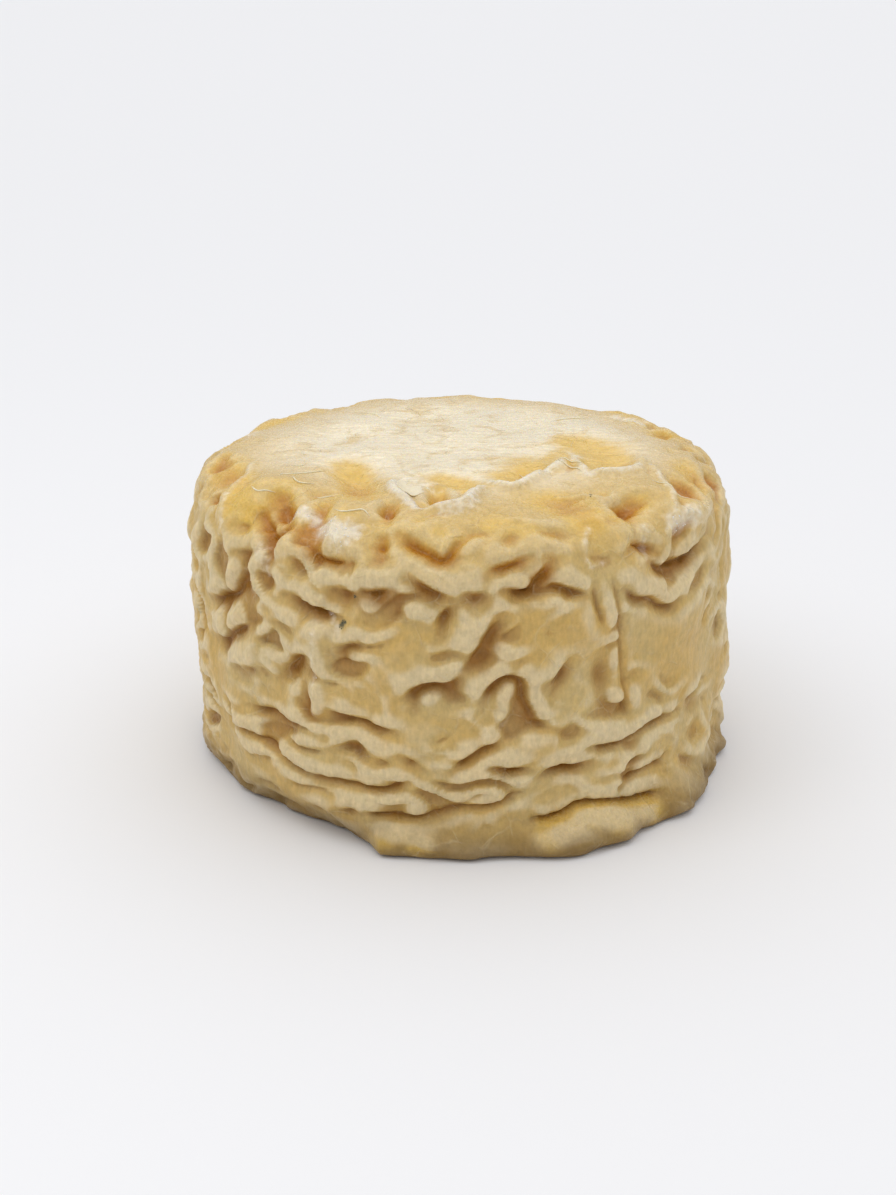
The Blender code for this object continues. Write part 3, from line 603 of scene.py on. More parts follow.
def folds(points, seed=3):
    """How high the rope-like folds of the rind stand at each point, and how deep the pits between
    them are, both from 0 to 1. A fold runs where an uneven field passes through zero, so it winds,
    and it fades and rises again along its length. Where the body's weight presses on the rind, low
    on the wall, the folds lie."""
    moved = wander(points, WANDER, WANDER_LENGTH, seed + 30)
    pressed = smooth_step(PRESSED_TOP, PRESSED_TOP - PRESSED_BLEND, points[:, 2])
    upright = ripple(moved * (1, 1, FOLD_FLATNESS), FOLD_LENGTH, seed)
    lying = ripple(moved * (1, 1, LYING_FLATNESS), LYING_LENGTH, seed + 1)
    field = np.abs(upright + (lying - upright) * pressed)
    fine = ripple(moved * (1, 1, FOLD_FLATNESS), FINE_LENGTH, seed + 2)
    risen = smooth_step(*FADING_RANGE, ripple(points, FADING_LENGTH, seed + 90))
    risen = FADED_SHARE + (1 - FADED_SHARE) * risen
    large = risen * np.exp(-((field / FOLD_REACH) ** 2))
    small = FINE_SHARE * np.exp(-((fine / FOLD_REACH) ** 2))
    sunk = smooth_step(*PIT_RANGE, ripple(points, PIT_LENGTH, seed + 80))
    pit = sunk * smooth_step(FOLD_REACH, PIT_REACH * FOLD_REACH, field)
    return np.maximum(large, small), pit


def smooth_route(corners, parts=6):
    """A curve through the corners of a route, in short straight legs."""
    if len(corners) < 3:
        return corners
    ends = (2 * corners[0] - corners[1], 2 * corners[-1] - corners[-2])
    knots = np.vstack((ends[0], corners, ends[1]))
    share = (np.arange(parts) / parts)[:, None]
    legs = []
    for before, start, end, after in zip(knots, knots[1:], knots[2:], knots[3:]):
        bend = 2 * before - 5 * start + 4 * end - after
        turn = 3 * start - before - 3 * end + after
        legs.append(0.5 * (2 * start + (end - before) * share + bend * share**2 + turn * share**3))
    return np.vstack((*legs, corners[-1]))


def along_route(points, route, reach):
    """The points within reach of a route: which they are, how far from it, how far above it, and how
    far along it from the nearer end."""
    corners = smooth_route(np.array(route, float))
    corners = on_body(np.radians(corners[:, 0]), corners[:, 1] * MM)
    inside = (points > corners.min(axis=0) - reach) & (points < corners.max(axis=0) + reach)
    near = np.flatnonzero(inside.all(axis=1))
    close = points[near]
    starts, legs = corners[:-1], np.diff(corners, axis=0)
    lengths = np.linalg.norm(legs, axis=1)
    travelled = np.concatenate(([0], np.cumsum(lengths)))
    nearest = np.full(len(near), np.inf)
    along = np.zeros(len(near))
    above = np.zeros(len(near))
    for start, leg, length, before in zip(starts, legs, lengths, travelled):
        share = np.clip((close - start) @ leg / length**2, 0, 1)
        offset = close - start - share[:, None] * leg
        gap = np.linalg.norm(offset, axis=1)
        closer = gap < nearest
        nearest = np.where(closer, gap, nearest)
        along = np.where(closer, before + share * length, along)
        above = np.where(closer, offset[:, 2], above)
    return near, nearest, above, np.minimum(along, travelled[-1] - along)


def laid_fold(points, fold):
    """The depth that one fold adds, and how far the rind above it hangs down over it."""
    width = fold.half_width * MM
    near, nearest, above, end = along_route(points, fold.route, FOLD_FELT * width)
    risen = END_SHARE + (1 - END_SHARE) * smooth_step(0, END_LENGTH * width, end)
    strength = fold.depth * MM * risen
    depth = np.zeros(len(points))
    hang = np.zeros(len(points))
    if fold.depth < 0:
        depth[near] = strength * np.exp(-((nearest / width) ** 2))
        return depth, hang
    side_width = width * (1 - UPPER_STEEPNESS * np.tanh(above / (STEEPNESS_BLEND * width)))
    lip = LIP_HEIGHT * np.exp(-(((above / width - LIP_ABOVE) / LIP_ACROSS) ** 2))
    lip *= np.exp(-((nearest / (LIP_ALONG * width)) ** 2))
    depth[near] = strength * (np.exp(-((nearest / side_width) ** BOTTOM_FLATNESS)) - lip)
    over = np.exp(-(((above / width - HANG_ABOVE) / HANG_ACROSS) ** 2))
    over *= np.exp(-((nearest / (HANG_ALONG * width)) ** 2))
    hang[near] = HANG_SHARE * strength * over
    return depth, hang


def laid_relief(points):
    """The crevices, the lips and the overhangs that are laid one by one from the tables."""
    crevices = np.zeros(len(points))
    lips = np.zeros(len(points))
    hangs = np.zeros(len(points))
    for fold in LAID_CREVICES:
        depth, hang = laid_fold(points, fold)
        crevices = np.where(np.abs(depth) > np.abs(crevices), depth, crevices)
        hangs = np.maximum(hangs, hang)
    for fold in LAID_LIPS:
        lips = np.minimum(lips, laid_fold(points, fold)[0])
    return crevices, lips, hangs


def strokes(points, table):
    """How strongly the strokes of a table cover each point, from 0 to 1."""
    cover = np.zeros(len(points))
    for stroke in table:
        width = stroke.half_width * MM
        near, nearest, _, _ = along_route(points, stroke.route, STROKE_FELT * width)
        cover[near] = np.maximum(cover[near], stroke.strength * np.exp(-((nearest / width) ** 2)))
    return cover


def foot_spread(points, azimuth, rise):
    """How far the edge of the foot has moved outwards over the ground, as offsets in metres."""
    reach = np.interp(np.degrees(azimuth), *np.array(FOOT_SPREAD).T) * MM
    reach += FOOT_UNEVENNESS * ripple(points, FOOT_UNEVEN_LENGTH, 50)
    reach *= smooth_step(FOOT_SPREAD_TOP, FOOT_ROUNDING, rise)
    return reach[:, None] * np.column_stack((np.sin(azimuth), -np.cos(azimuth), np.zeros(len(azimuth))))


def blurred(grid, columns, rows):
    """A grid of the rind, ring by ring, averaged over a window. It wraps round the wheel."""
    wide = np.concatenate((grid[:, -columns:], grid, grid[:, :columns]), axis=1)
    total = np.cumsum(np.pad(wide, ((0, 0), (1, 0))), axis=1)
    wide = (total[:, 2 * columns + 1 :] - total[:, : -2 * columns - 1]) / (2 * columns + 1)
    tall = np.pad(wide, ((rows + 1, rows), (0, 0)), mode="edge")
    total = np.cumsum(tall, axis=0)
    return (total[2 * rows + 1 :] - total[: -2 * rows - 1]) / (2 * rows + 1)


def rind_fields():
    """Every ring of the rind before any column is left out: points, outward directions and, by
    name, the lengths and shares that the relief and the finish are made from."""
    rings = round(RISE[-1] / RING_STEP)
    azimuth = np.tile(np.linspace(-math.pi, math.pi, COLUMNS, endpoint=False), rings)
    rise = np.repeat(np.linspace(0, RISE[-1], rings + 1)[:-1], COLUMNS)
    points = on_body(azimuth, rise)

    shoulder = smooth_step(*SHOULDER_RISES, rise)
    away = smooth_step(*PLATE_AZIMUTHS, np.abs(azimuth))
    plate = smooth_step(PLATE_START, PLATE_FULL, rise + PLATE_LOWER * away)
    foot = smooth_step(*FREE_RISES, rise)
    laid = 1 - smooth_step(LAID_HALF_ANGLE, LAID_HALF_ANGLE + LAID_BLEND, np.abs(azimuth))
    by_rule = (1 - (1 - LAID_SHARE) * laid) * (1 - plate) * (1 - strokes(points, CALM_STROKES))

    fold, pit = folds(points)
    laid_crevices, lips, hangs = laid_relief(points)
    by_rule = by_rule * (1 - (1 - KEPT_IN_CREVICE) * np.clip(laid_crevices / FULL_CREVICE, 0, 1))
    high = WALL_FOLD + (SHOULDER_FOLD - WALL_FOLD) * shoulder
    deep = WALL_PIT + (SHOULDER_PIT - WALL_PIT) * shoulder
    fold_relief = (high * fold - deep * pit) * by_rule
    swell = SWELL_HEIGHT * ripple(points, SWELL_LENGTH, 40) * (1 - (1 - KEPT_SWELL) * plate)
    pit_depth = (deep * pit * by_rule).reshape(rings, COLUMNS)
    below = np.roll(blurred(pit_depth, *HANG_WINDOW), LIP_RINGS, axis=0)
    overhang = np.maximum(below - pit_depth, 0).ravel()
    hang = ((hangs + HANG_SHARE * overhang) * foot).reshape(rings, COLUMNS)
    relief = (fold_relief + LIP_SHARE * overhang + swell - laid_crevices - lips) * foot
    relief = relief.reshape(rings, COLUMNS)
    grid = blurred(relief, *RELIEF_WINDOW)
    grid += KEPT_SHARPNESS * (relief - grid)
    open_crevice = np.clip((laid_crevices + deep * pit * by_rule) / FULL_CREVICE, 0, 1) * foot
    cream = smooth_step(*CREAM_RISES, rise + PLATE_LOWER * away)
    fields = {
        "stand_out": grid.ravel(),
        "hang": blurred(hang, *HANG_WINDOW).ravel(),
        "crevice": open_crevice * (1 - cream),
        "pocket": open_crevice * smooth_step(*POCKET_RISES, rise),
        "crest": ((grid - blurred(grid, *CREST_WINDOW)).ravel() / FULL_CREST).clip(-1, 1),
        "butter": strokes(points, BUTTER_STROKES),
        "bloom": strokes(points, BLOOM_STROKES),
        "mould": strokes(points, MOULD_STROKES),
        "plate": cream,
        "shoulder": shoulder,
        # Towards the foot, where the darker colour, partly painted shade near the ground, goes
        "low": 1 - smooth_step(*FOOT_TONE_AND_SHADE_RISES, rise),
        "wrinkled": foot * (1 - plate),
    }
    spread = points + foot_spread(points, azimuth, rise)
    return azimuth, rise, spread, outward(azimuth, rise), fields


def rings_joined(counts):
    """The faces between rings that have the given numbers of points, where a ring has as many
    points as the one below it or half as many."""
    faces = []
    below = 0
    for count, count_above in zip(counts, counts[1:]):
        above = below + count
        place = np.arange(count_above)
        beside = (place + 1) % count_above
        if count_above == count:
            faces.append(np.column_stack((below + place, below + beside, above + beside)))
            faces.append(np.column_stack((below + place, above + beside, above + place)))
        else:
            left, middle, right = 2 * place, 2 * place + 1, (2 * place + 2) % count
            faces.append(np.column_stack((below + left, below + middle, above + place)))
            faces.append(np.column_stack((below + middle, above + beside, above + place)))
            faces.append(np.column_stack((below + middle, below + right, above + beside)))
        below = above
    return np.concatenate(faces)


def add_attribute(mesh, name, kind, values):
    """Gives the mesh a number or a vector for each point, under this name."""
    attribute = mesh.attributes.new(name, kind, "POINT")
    field = "vector" if kind == "FLOAT_VECTOR" else "value"
    attribute.data.foreach_set(field, np.asarray(values, np.float32).ravel())


def smooth_rind():
    """The turned body as a closed mesh, with the fields of its relief and finish as attributes."""
    azimuth, rise, points, ways, fields = rind_fields()
    radius = np.interp(rise, RISE, OUTLINE[:, 0])
    kept, counts = [], []
    for start in range(0, len(rise), COLUMNS):
        halvings = sum(radius[start] < limit for limit in HALVED_BELOW) if rise[start] > TOP_RISE else 0
        ring = np.arange(start, start + COLUMNS, 2**halvings)
        kept.append(ring)
        counts.append(len(ring))
    kept = np.concatenate(kept)

    faces = rings_joined(counts)
    foot_middle, top_middle = len(kept), len(kept) + 1
    first, last = np.arange(counts[0]), np.arange(len(kept) - counts[-1], len(kept))
    bottom = np.column_stack((np.roll(first, -1), first, np.full(len(first), foot_middle)))
    top = np.column_stack((last, np.roll(last, -1), np.full(len(last), top_middle)))
    faces = np.concatenate((faces, bottom, top))
    places = np.vstack((points[kept], (0, 0, 0), on_body(np.zeros(1), RISE[-1:])))

    mesh = bpy.data.meshes.new("rind")
    mesh.vertices.add(len(places))
    mesh.vertices.foreach_set("co", places.astype(np.float32).ravel())
    mesh.loops.add(faces.size)
    mesh.loops.foreach_set("vertex_index", faces.astype(np.int32).ravel())
    mesh.polygons.add(len(faces))
    mesh.polygons.foreach_set("loop_start", np.arange(0, faces.size, 3, dtype=np.int32))
    mesh.update(calc_edges=True)
    mesh.validate()
    add_attribute(mesh, "way_out", "FLOAT_VECTOR", np.vstack((ways[kept], (0, 0, -1), (0, 0, 1))))
    for name, values in fields.items():
        ends = (0, values[kept[-1]])
        add_attribute(mesh, name, "FLOAT", np.concatenate((values[kept], ends)))
    return mesh


def linear(hex_colour):
    """A colour written as sRGB hex, as the linear values that Blender works in."""
    parts = [int(hex_colour[k : k + 2], 16) / 255 for k in (1, 3, 5)]
    return tuple(p / 12.92 if p <= 0.04045 else ((p + 0.055) / 1.055) ** 2.4 for p in parts)


def add_node(tree, kind, inputs=None, output=0, **settings):
    """Adds a node with its settings and returns one of its outputs. Each input is linked where a
    socket is given, or else set."""
    node = tree.nodes.new(kind)
    for name, value in settings.items():
        setattr(node, name, value)
    for key, value in (inputs or {}).items():
        if isinstance(value, bpy.types.NodeSocket):
            tree.links.new(value, node.inputs[key])
        else:
            node.inputs[key].default_value = value
    return node.outputs[output] if node.outputs else node


def new_tree(name, **inputs):
    """A Geometry Nodes tree with a geometry input, these inputs by name and kind, and a geometry
    output. Returns the tree and its inputs' sockets."""
    tree = bpy.data.node_groups.new(name, "GeometryNodeTree")
    tree.interface.new_socket("Geometry", in_out="INPUT", socket_type="NodeSocketGeometry")
    for label, kind in inputs.items():
        tree.interface.new_socket(label, in_out="INPUT", socket_type="NodeSocket" + kind)
    tree.interface.new_socket("Geometry", in_out="OUTPUT", socket_type="NodeSocketGeometry")
    given = add_node(tree, "NodeGroupInput").node.outputs
    return tree, given


def end_tree(tree, geometry, material):
    """Ends a tree in Realize Instances and Set Material."""
    smooth = add_node(tree, "GeometryNodeSetShadeSmooth", {"Geometry": geometry})
    real = add_node(tree, "GeometryNodeRealizeInstances", {"Geometry": smooth})
    painted = add_node(tree, "GeometryNodeSetMaterial", {"Geometry": real, "Material": material})
    add_node(tree, "NodeGroupOutput", {"Geometry": painted})


def finished_by(obj, tree, values):
    """Runs a Geometry Nodes tree on an object with these inputs, and keeps its result as a mesh."""
    modifier = obj.modifiers.new(tree.name, "NODES")
    modifier.node_group = tree
    for item in tree.interface.items_tree:
        if item.in_out == "INPUT" and item.name in values:
            modifier[item.identifier] = values[item.name]
    evaluated = obj.evaluated_get(bpy.context.evaluated_depsgraph_get())
    mesh = bpy.data.meshes.new_from_object(evaluated)
    obj.modifiers.remove(modifier)
    obj.data = mesh
    mesh.name = obj.name
    bpy.data.node_groups.remove(tree)


def rind_relief_tree():
    """Folds the smooth body by its fields, then adds upright stretch lines and a grain."""
    tree, given = new_tree(
        "rind_relief",
        Puff="Float",
        Stretch_height="Float",
        Stretch_spacing="Float",
        Grain_height="Float",
        Grain_spacing="Float",
        Rind="Material",
    )
    fields = {
        name: add_node(tree, "GeometryNodeInputNamedAttribute", {"Name": name})
        for name in ("stand_out", "hang", "wrinkled")
    }
    way_out = add_node(
        tree, "GeometryNodeInputNamedAttribute", {"Name": "way_out"}, data_type="FLOAT_VECTOR"
    )
    place = add_node(tree, "GeometryNodeInputPosition")
    normal = add_node(tree, "GeometryNodeInputNormal")

    lean = add_node(tree, "ShaderNodeVectorMath", {0: normal, 1: way_out}, operation="SUBTRACT")
    puff = add_node(tree, "ShaderNodeMath", {0: given["Puff"], 1: fields["wrinkled"]}, operation="MULTIPLY")

    uneven = add_node(
        tree, "ShaderNodeTexNoise", {"Vector": place, "Scale": 1 / BEND_LENGTH}, output="Color"
    )
    bend = add_node(tree, "ShaderNodeVectorMath", {0: uneven, "Scale": BEND_REACH}, operation="SCALE")
    bent = add_node(tree, "ShaderNodeVectorMath", {0: place, 1: bend})

    upright = add_node(tree, "ShaderNodeVectorMath", {0: bent, 1: DRAWN_OUT}, operation="MULTIPLY")
    pitch = add_node(tree, "ShaderNodeMath", {0: 1.0, 1: given["Stretch_spacing"]}, operation="DIVIDE")
    lines = add_node(tree, "ShaderNodeTexNoise", {"Vector": upright, "Scale": pitch})
    lines = add_node(tree, "ShaderNodeMath", {0: lines, 1: 0.5}, operation="SUBTRACT")
    lines = add_node(tree, "ShaderNodeMath", {0: lines, 1: given["Stretch_height"]}, operation="MULTIPLY")
    on_folds = add_node(tree, "ShaderNodeMath", {0: lines, 1: fields["wrinkled"]}, operation="MULTIPLY")

    pitch = add_node(tree, "ShaderNodeMath", {0: 1.0, 1: given["Grain_spacing"]}, operation="DIVIDE")
    grain = add_node(tree, "ShaderNodeTexNoise", {"Vector": place, "Scale": pitch})
    grain = add_node(tree, "ShaderNodeMath", {0: grain, 1: 0.5}, operation="SUBTRACT")
    fine = add_node(
        tree,
        "ShaderNodeMath",
        {0: grain, 1: given["Grain_height"], 2: on_folds},
        operation="MULTIPLY_ADD",
    )
    height = add_node(tree, "ShaderNodeSeparateXYZ", {0: place}, output="Z")
    off_foot = add_node(tree, "ShaderNodeMapRange", {"Value": height, "From Max": FOOT_ROUNDING})
    fine = add_node(tree, "ShaderNodeMath", {0: fine, 1: off_foot}, operation="MULTIPLY")

    # Out into folds, aside into puffed crests, down over the crevices, then the fine relief
    surface = given["Geometry"]
    for way, reach in (
        (way_out, fields["stand_out"]),
        (lean, puff),
        ((0, 0, -1), fields["hang"]),
        (normal, fine),
    ):
        offset = add_node(tree, "ShaderNodeVectorMath", {0: way, "Scale": reach}, operation="SCALE")
        surface = add_node(tree, "GeometryNodeSetPosition", {"Geometry": surface, "Offset": offset})
    end_tree(tree, surface, given["Rind"])
    return tree


def crumbs_tree():
    """Scatters small uneven lumps over the rind, densest where the covering field is strongest."""
    tree, given = new_tree(
        "crumbs",
        Cover="String",
        Per_area="Float",
        Smallest="Float",
        Largest="Float",
        Seed="Int",
        Crumb="Material",
    )
    cover = add_node(tree, "GeometryNodeInputNamedAttribute", {"Name": given["Cover"]})
    cover = add_node(
        tree,
        "ShaderNodeMapRange",
        {"Value": cover, **RAMPS["crumb_cover"]},
        interpolation_type="SMOOTHSTEP",
    )
    density = add_node(tree, "ShaderNodeMath", {0: cover, 1: given["Per_area"]}, operation="MULTIPLY")
    points = add_node(
        tree,
        "GeometryNodeDistributePointsOnFaces",
        {"Mesh": given["Geometry"], "Density": density, "Seed": given["Seed"]},
    )
    size = add_node(
        tree,
        "FunctionNodeRandomValue",
        {"Min": given["Smallest"], "Max": given["Largest"], "Seed": given["Seed"]},
        output=1,
        data_type="FLOAT",
    )
    flat = add_node(tree, "ShaderNodeCombineXYZ", {"X": size, "Y": size})
    half = add_node(
        tree, "ShaderNodeVectorMath", {0: (0, 0, CRUMB_FLATNESS), "Scale": size}, operation="SCALE"
    )
    shape = add_node(tree, "ShaderNodeVectorMath", {0: flat, 1: half})
    lump = add_node(tree, "GeometryNodeMeshIcoSphere", {"Radius": 0.5, "Subdivisions": 2})
    placed = add_node(
        tree,
        "GeometryNodeInstanceOnPoints",
        {
            "Points": points,
            "Instance": lump,
            "Rotation": points.node.outputs["Rotation"],
            "Scale": shape,
        },
    )
    real = add_node(tree, "GeometryNodeRealizeInstances", {"Geometry": placed})
    place = add_node(tree, "GeometryNodeInputPosition")
    dents = add_node(
        tree, "ShaderNodeTexNoise", {"Vector": place, "Scale": 1 / CRUMB_DENTS}, output="Color"
    )
    dents = add_node(tree, "ShaderNodeVectorMath", {0: dents, 1: (0.5, 0.5, 0.5)}, operation="SUBTRACT")
    dents = add_node(tree, "ShaderNodeVectorMath", {0: dents, "Scale": CRUMB_DENTS}, operation="SCALE")
    uneven = add_node(tree, "GeometryNodeSetPosition", {"Geometry": real, "Offset": dents})
    end_tree(tree, uneven, given["Crumb"])
    return tree


def threads_tree():
    """Turns a string of points into a thin round thread that tapers to its ends."""
    tree, given = new_tree("threads", Thickness="Float", Thread="Material")
    string = add_node(tree, "GeometryNodeMeshToCurve", {"Mesh": given["Geometry"]})
    along = add_node(tree, "GeometryNodeSplineParameter")
    from_end = add_node(tree, "ShaderNodeMath", {0: along, 1: 0.5}, operation="SUBTRACT")
    from_end = add_node(tree, "ShaderNodeMath", {0: from_end}, operation="ABSOLUTE")
    taper = add_node(tree, "ShaderNodeMapRange", {"Value": from_end, **RAMPS["thread_taper"]})
    half = add_node(tree, "ShaderNodeMath", {0: given["Thickness"], 1: 0.5}, operation="MULTIPLY")
    radius = add_node(tree, "ShaderNodeMath", {0: taper, 1: half}, operation="MULTIPLY")
    circle = add_node(tree, "GeometryNodeCurvePrimitiveCircle", {"Resolution": 8, "Radius": 1.0})
    tube = add_node(
        tree,
        "GeometryNodeCurveToMesh",
        {"Curve": string, "Profile Curve": circle, "Scale": radius, "Fill Caps": True},
    )
    end_tree(tree, tube, given["Thread"])
    return tree


def centred_as_solid(mesh):
    """Moves the mesh so that it stands in the middle of the solid's box, with its foot at z 0."""
    places = np.empty(len(mesh.vertices) * 3, np.float32)
    mesh.vertices.foreach_get("co", places)
    places = places.reshape(-1, 3)
    middle = (places.min(axis=0) + places.max(axis=0)) / 2
    solid_middle = (WHEEL_LOW + WHEEL_HIGH) / 2
    places[:, 0] += solid_middle.x - middle[0]
    places[:, 1] += solid_middle.y - middle[1]
    places[:, 2] = np.maximum(places[:, 2], 0)
    mesh.vertices.foreach_set("co", places.ravel())
    mesh.update()


def washed_rind():
    """The rind of a washed cheese: skin kept damp, so its yeasts and ochre bacteria give a tan film.
    It looks pale and dry on crests, where the pale is partly painted light, ochre and darker in
    crevices and hollows, where the darkening is painted shade, darker towards the foot, partly as
    painted shade near the ground, and wet and butter yellow where the ripe paste shows through."""
    looks = bpy.context.scene.cheese_rind
    material = bpy.data.materials.new("washed_rind")
    material.use_nodes = True
    tree = material.node_tree
    shader = tree.nodes["Principled BSDF"]
    fields = {
        name: add_node(tree, "ShaderNodeAttribute", output="Fac", attribute_name=name)
        for name in ("crevice", "pocket", "crest", "butter", "bloom", "mould", "plate", "shoulder", "low")
    }
    place = add_node(tree, "ShaderNodeTexCoord", output="Object")
    down_wall = add_node(tree, "ShaderNodeMapping", {"Vector": place, "Scale": FIBRE_STRETCH})
    over_top = add_node(tree, "ShaderNodeMapping", {"Vector": place, "Scale": STREAK_STRETCH})
    mottle, swirl, speckle, fibres, pores, streaks = (
        add_node(
            tree,
            "ShaderNodeTexNoise",
            {"Vector": way, "Scale": 1 / length, "Detail": detail, "Distortion": twist},
        )
        for way, length, detail, twist in (
            (place, MOTTLE_LENGTH, 3.0, 0.0),
            (place, SWIRL_LENGTH, 3.0, 1.2),
            (place, SPECKLE_LENGTH, 4.0, 0.0),
            (down_wall, FIBRE_SPACING, 3.0, 0.0),
            (place, PORE_SPACING, 3.0, 0.0),
            (over_top, STREAK_SPACING, 2.0, 0.0),
        )
    )

    straw = add_node(tree, "ShaderNodeMapRange", {"Value": mottle, **RAMPS["straw"]})
    damp = add_node(tree, "ShaderNodeMapRange", {"Value": fields["shoulder"], **RAMPS["damp"]})
    swirls = add_node(tree, "ShaderNodeMapRange", {"Value": swirl, **RAMPS["straw_swirls"]})
    swirls = add_node(tree, "ShaderNodeMath", {0: swirls, 1: fields["plate"]}, operation="MULTIPLY")

    ripe = add_node(tree, "ShaderNodeMath", {0: fields["butter"], 1: fields["pocket"]}, operation="MAXIMUM")
    ripe = add_node(tree, "ShaderNodeMath", {0: swirl, 1: ripe})
    dusted = add_node(tree, "ShaderNodeMath", {0: speckle, 1: fields["bloom"]})
    mouldy = add_node(tree, "ShaderNodeMath", {0: speckle, 1: fields["mould"]})
    wet, crest, hollow_ochre_and_shade, bloom, mould = (
        add_node(
            tree, "ShaderNodeMapRange", {"Value": value, **RAMPS[ramp]}, interpolation_type="SMOOTHSTEP"
        )
        for value, ramp in (
            (ripe, "wet"),
            (fields["crest"], "crest"),
            (fields["crest"], "hollow_ochre_and_shade"),
            (dusted, "bloom"),
            (mouldy, "mould"),
        )
    )
    # Pale crests: partly dry skin, partly painted light on the raised folds; less of it on the damp shoulder
    dry = add_node(tree, "ShaderNodeMapRange", {"Value": fields["shoulder"], **RAMPS["dry"]})
    crest = add_node(tree, "ShaderNodeMath", {0: crest, 1: dry}, operation="MULTIPLY")
    # Ochre, or amber on the shoulder, in crevices and where the rind lies lower than round it: the rind's
    # own colour, made darker as painted shade
    deep = add_node(tree, "ShaderNodeMath", {0: hollow_ochre_and_shade, 1: fields["crevice"]}, operation="MAXIMUM")
    deep = add_node(tree, "ShaderNodeMapRange", {"Value": deep, **RAMPS["deep"]})
    ochre_and_shade_colour = add_node(
        tree,
        "ShaderNodeMix",
        {0: fields["shoulder"], 6: (*looks.ochre, 1), 7: (*looks.amber, 1)},
        output=2,
        data_type="RGBA",
    )
    # Darker and yellower towards the foot: partly the skin's own tone, partly painted shade near the ground
    foot = add_node(tree, "ShaderNodeMapRange", {"Value": fields["low"], **RAMPS["foot"]})
    spared = add_node(tree, "ShaderNodeMapRange", {"Value": wet, **RAMPS["spared"]})
    foot = add_node(tree, "ShaderNodeMath", {0: foot, 1: spared}, operation="MULTIPLY")

    uneven = add_node(
        tree, "ShaderNodeTexNoise", {"Vector": place, "Scale": 1 / VEIN_BEND_LENGTH}, output="Color"
    )
    bend = add_node(tree, "ShaderNodeVectorMath", {0: uneven, "Scale": VEIN_BEND}, operation="SCALE")
    bent = add_node(tree, "ShaderNodeVectorMath", {0: place, 1: bend})
    vein = add_node(
        tree, "ShaderNodeTexVoronoi", {"Vector": bent, "Scale": 1 / VEIN_SPACING}, feature="DISTANCE_TO_EDGE"
    )
    vein = add_node(tree, "ShaderNodeMapRange", {"Value": vein, **RAMPS["vein"]})
    shown = add_node(tree, "ShaderNodeMapRange", {"Value": swirl, **RAMPS["vein_shown"]})
    vein = add_node(tree, "ShaderNodeMath", {0: vein, 1: shown}, operation="MULTIPLY")
    pale_vein = add_node(tree, "ShaderNodeMath", {0: vein, 1: VEIN_PALENESS}, operation="MULTIPLY")

    colour = (*looks.tan, 1)
    # Of the shares below, crest is partly painted light, deep is partly painted shade in crevices and
    # hollows, and foot is partly painted shade near the ground
    for share, tint in (
        (straw, (*looks.straw, 1)),
        (damp, (*looks.shoulder, 1)),
        (fields["plate"], (*looks.cream, 1)),
        (swirls, (*looks.straw, 1)),
        (wet, (*looks.butter, 1)),
        (crest, (*looks.crest, 1)),
        (deep, ochre_and_shade_colour),
        (foot, (*looks.foot, 1)),
        (pale_vein, (*looks.crest, 1)),
        (bloom, (*looks.bloom, 1)),
        (mould, (*looks.mould, 1)),
    ):
        colour = add_node(
            tree, "ShaderNodeMix", {0: share, 6: colour, 7: tint}, output=2, data_type="RGBA"
        )
    value = add_node(tree, "ShaderNodeMath", {0: speckle, 1: fibres})
    value = add_node(tree, "ShaderNodeMapRange", {"Value": value, **RAMPS["value"]})
    colour = add_node(tree, "ShaderNodeHueSaturation", {"Color": colour, "Value": value})
    tree.links.new(colour, shader.inputs["Base Color"])

    gloss = add_node(tree, "ShaderNodeMath", {0: wet, 1: fields["shoulder"]}, operation="MAXIMUM")
    gloss = add_node(tree, "ShaderNodeMath", {0: gloss, 1: speckle}, operation="MULTIPLY")
    roughness = add_node(tree, "ShaderNodeMapRange", {"Value": gloss, **RAMPS["roughness"]})
    tree.links.new(roughness, shader.inputs["Roughness"])

    texture = add_node(tree, "ShaderNodeMath", {0: fibres, 1: pores})
    texture = add_node(tree, "ShaderNodeMix", {0: fields["plate"], 2: texture, 3: streaks})
    texture = add_node(tree, "ShaderNodeMath", {0: texture, 1: vein})
    bump = add_node(tree, "ShaderNodeBump", {"Height": texture, "Strength": 0.5, "Distance": BUMP_HEIGHT})
    tree.links.new(bump, shader.inputs["Normal"])

    for socket, setting in RIND_SHADER.items():
        shader.inputs[socket].default_value = setting
    return material


def plain_food(name, colour, roughness, translucence):
    """A small bit of one colour, such as a crumb: matte or wet skin that lets a little light in."""
    material = bpy.data.materials.new(name)
    material.use_nodes = True
    tree = material.node_tree
    shader = tree.nodes["Principled BSDF"]
    place = add_node(tree, "ShaderNodeTexCoord", output="Object")
    speckle = add_node(
        tree, "ShaderNodeTexNoise", {"Vector": place, "Scale": 1 / PORE_SPACING, "Detail": 2.0}
    )
    value = add_node(tree, "ShaderNodeMapRange", {"Value": speckle, **RAMPS["crumb_value"]})
    tinted = add_node(tree, "ShaderNodeHueSaturation", {"Color": (*linear(colour), 1), "Value": value})
    tree.links.new(tinted, shader.inputs["Base Color"])
    settings = {"Roughness": roughness, "Subsurface Weight": translucence, **CRUMB_GLOW}
    for socket, setting in settings.items():
        shader.inputs[socket].default_value = setting
    return material


def linked(name, data):
    """A new object of the scene that holds this mesh, light or camera."""
    obj = bpy.data.objects.new(name, data)
    bpy.context.scene.collection.objects.link(obj)
    return obj


def on_rind(rind, azimuth, rise, lift):
    """The point over the finished rind at a place given in degrees and millimetres, lifted off it."""
    start = on_body(np.radians([azimuth]), np.array([rise * MM]))[0]
    way = outward(np.radians([azimuth]), np.array([rise * MM]))[0]
    hit, spot, normal, _ = rind.ray_cast(Vector(start + way * SEARCH_START), Vector(-way))
    if not hit:
        raise RuntimeError(f"nothing of the rind under azimuth {azimuth}, rise {rise}")
    return spot + normal * lift * MM


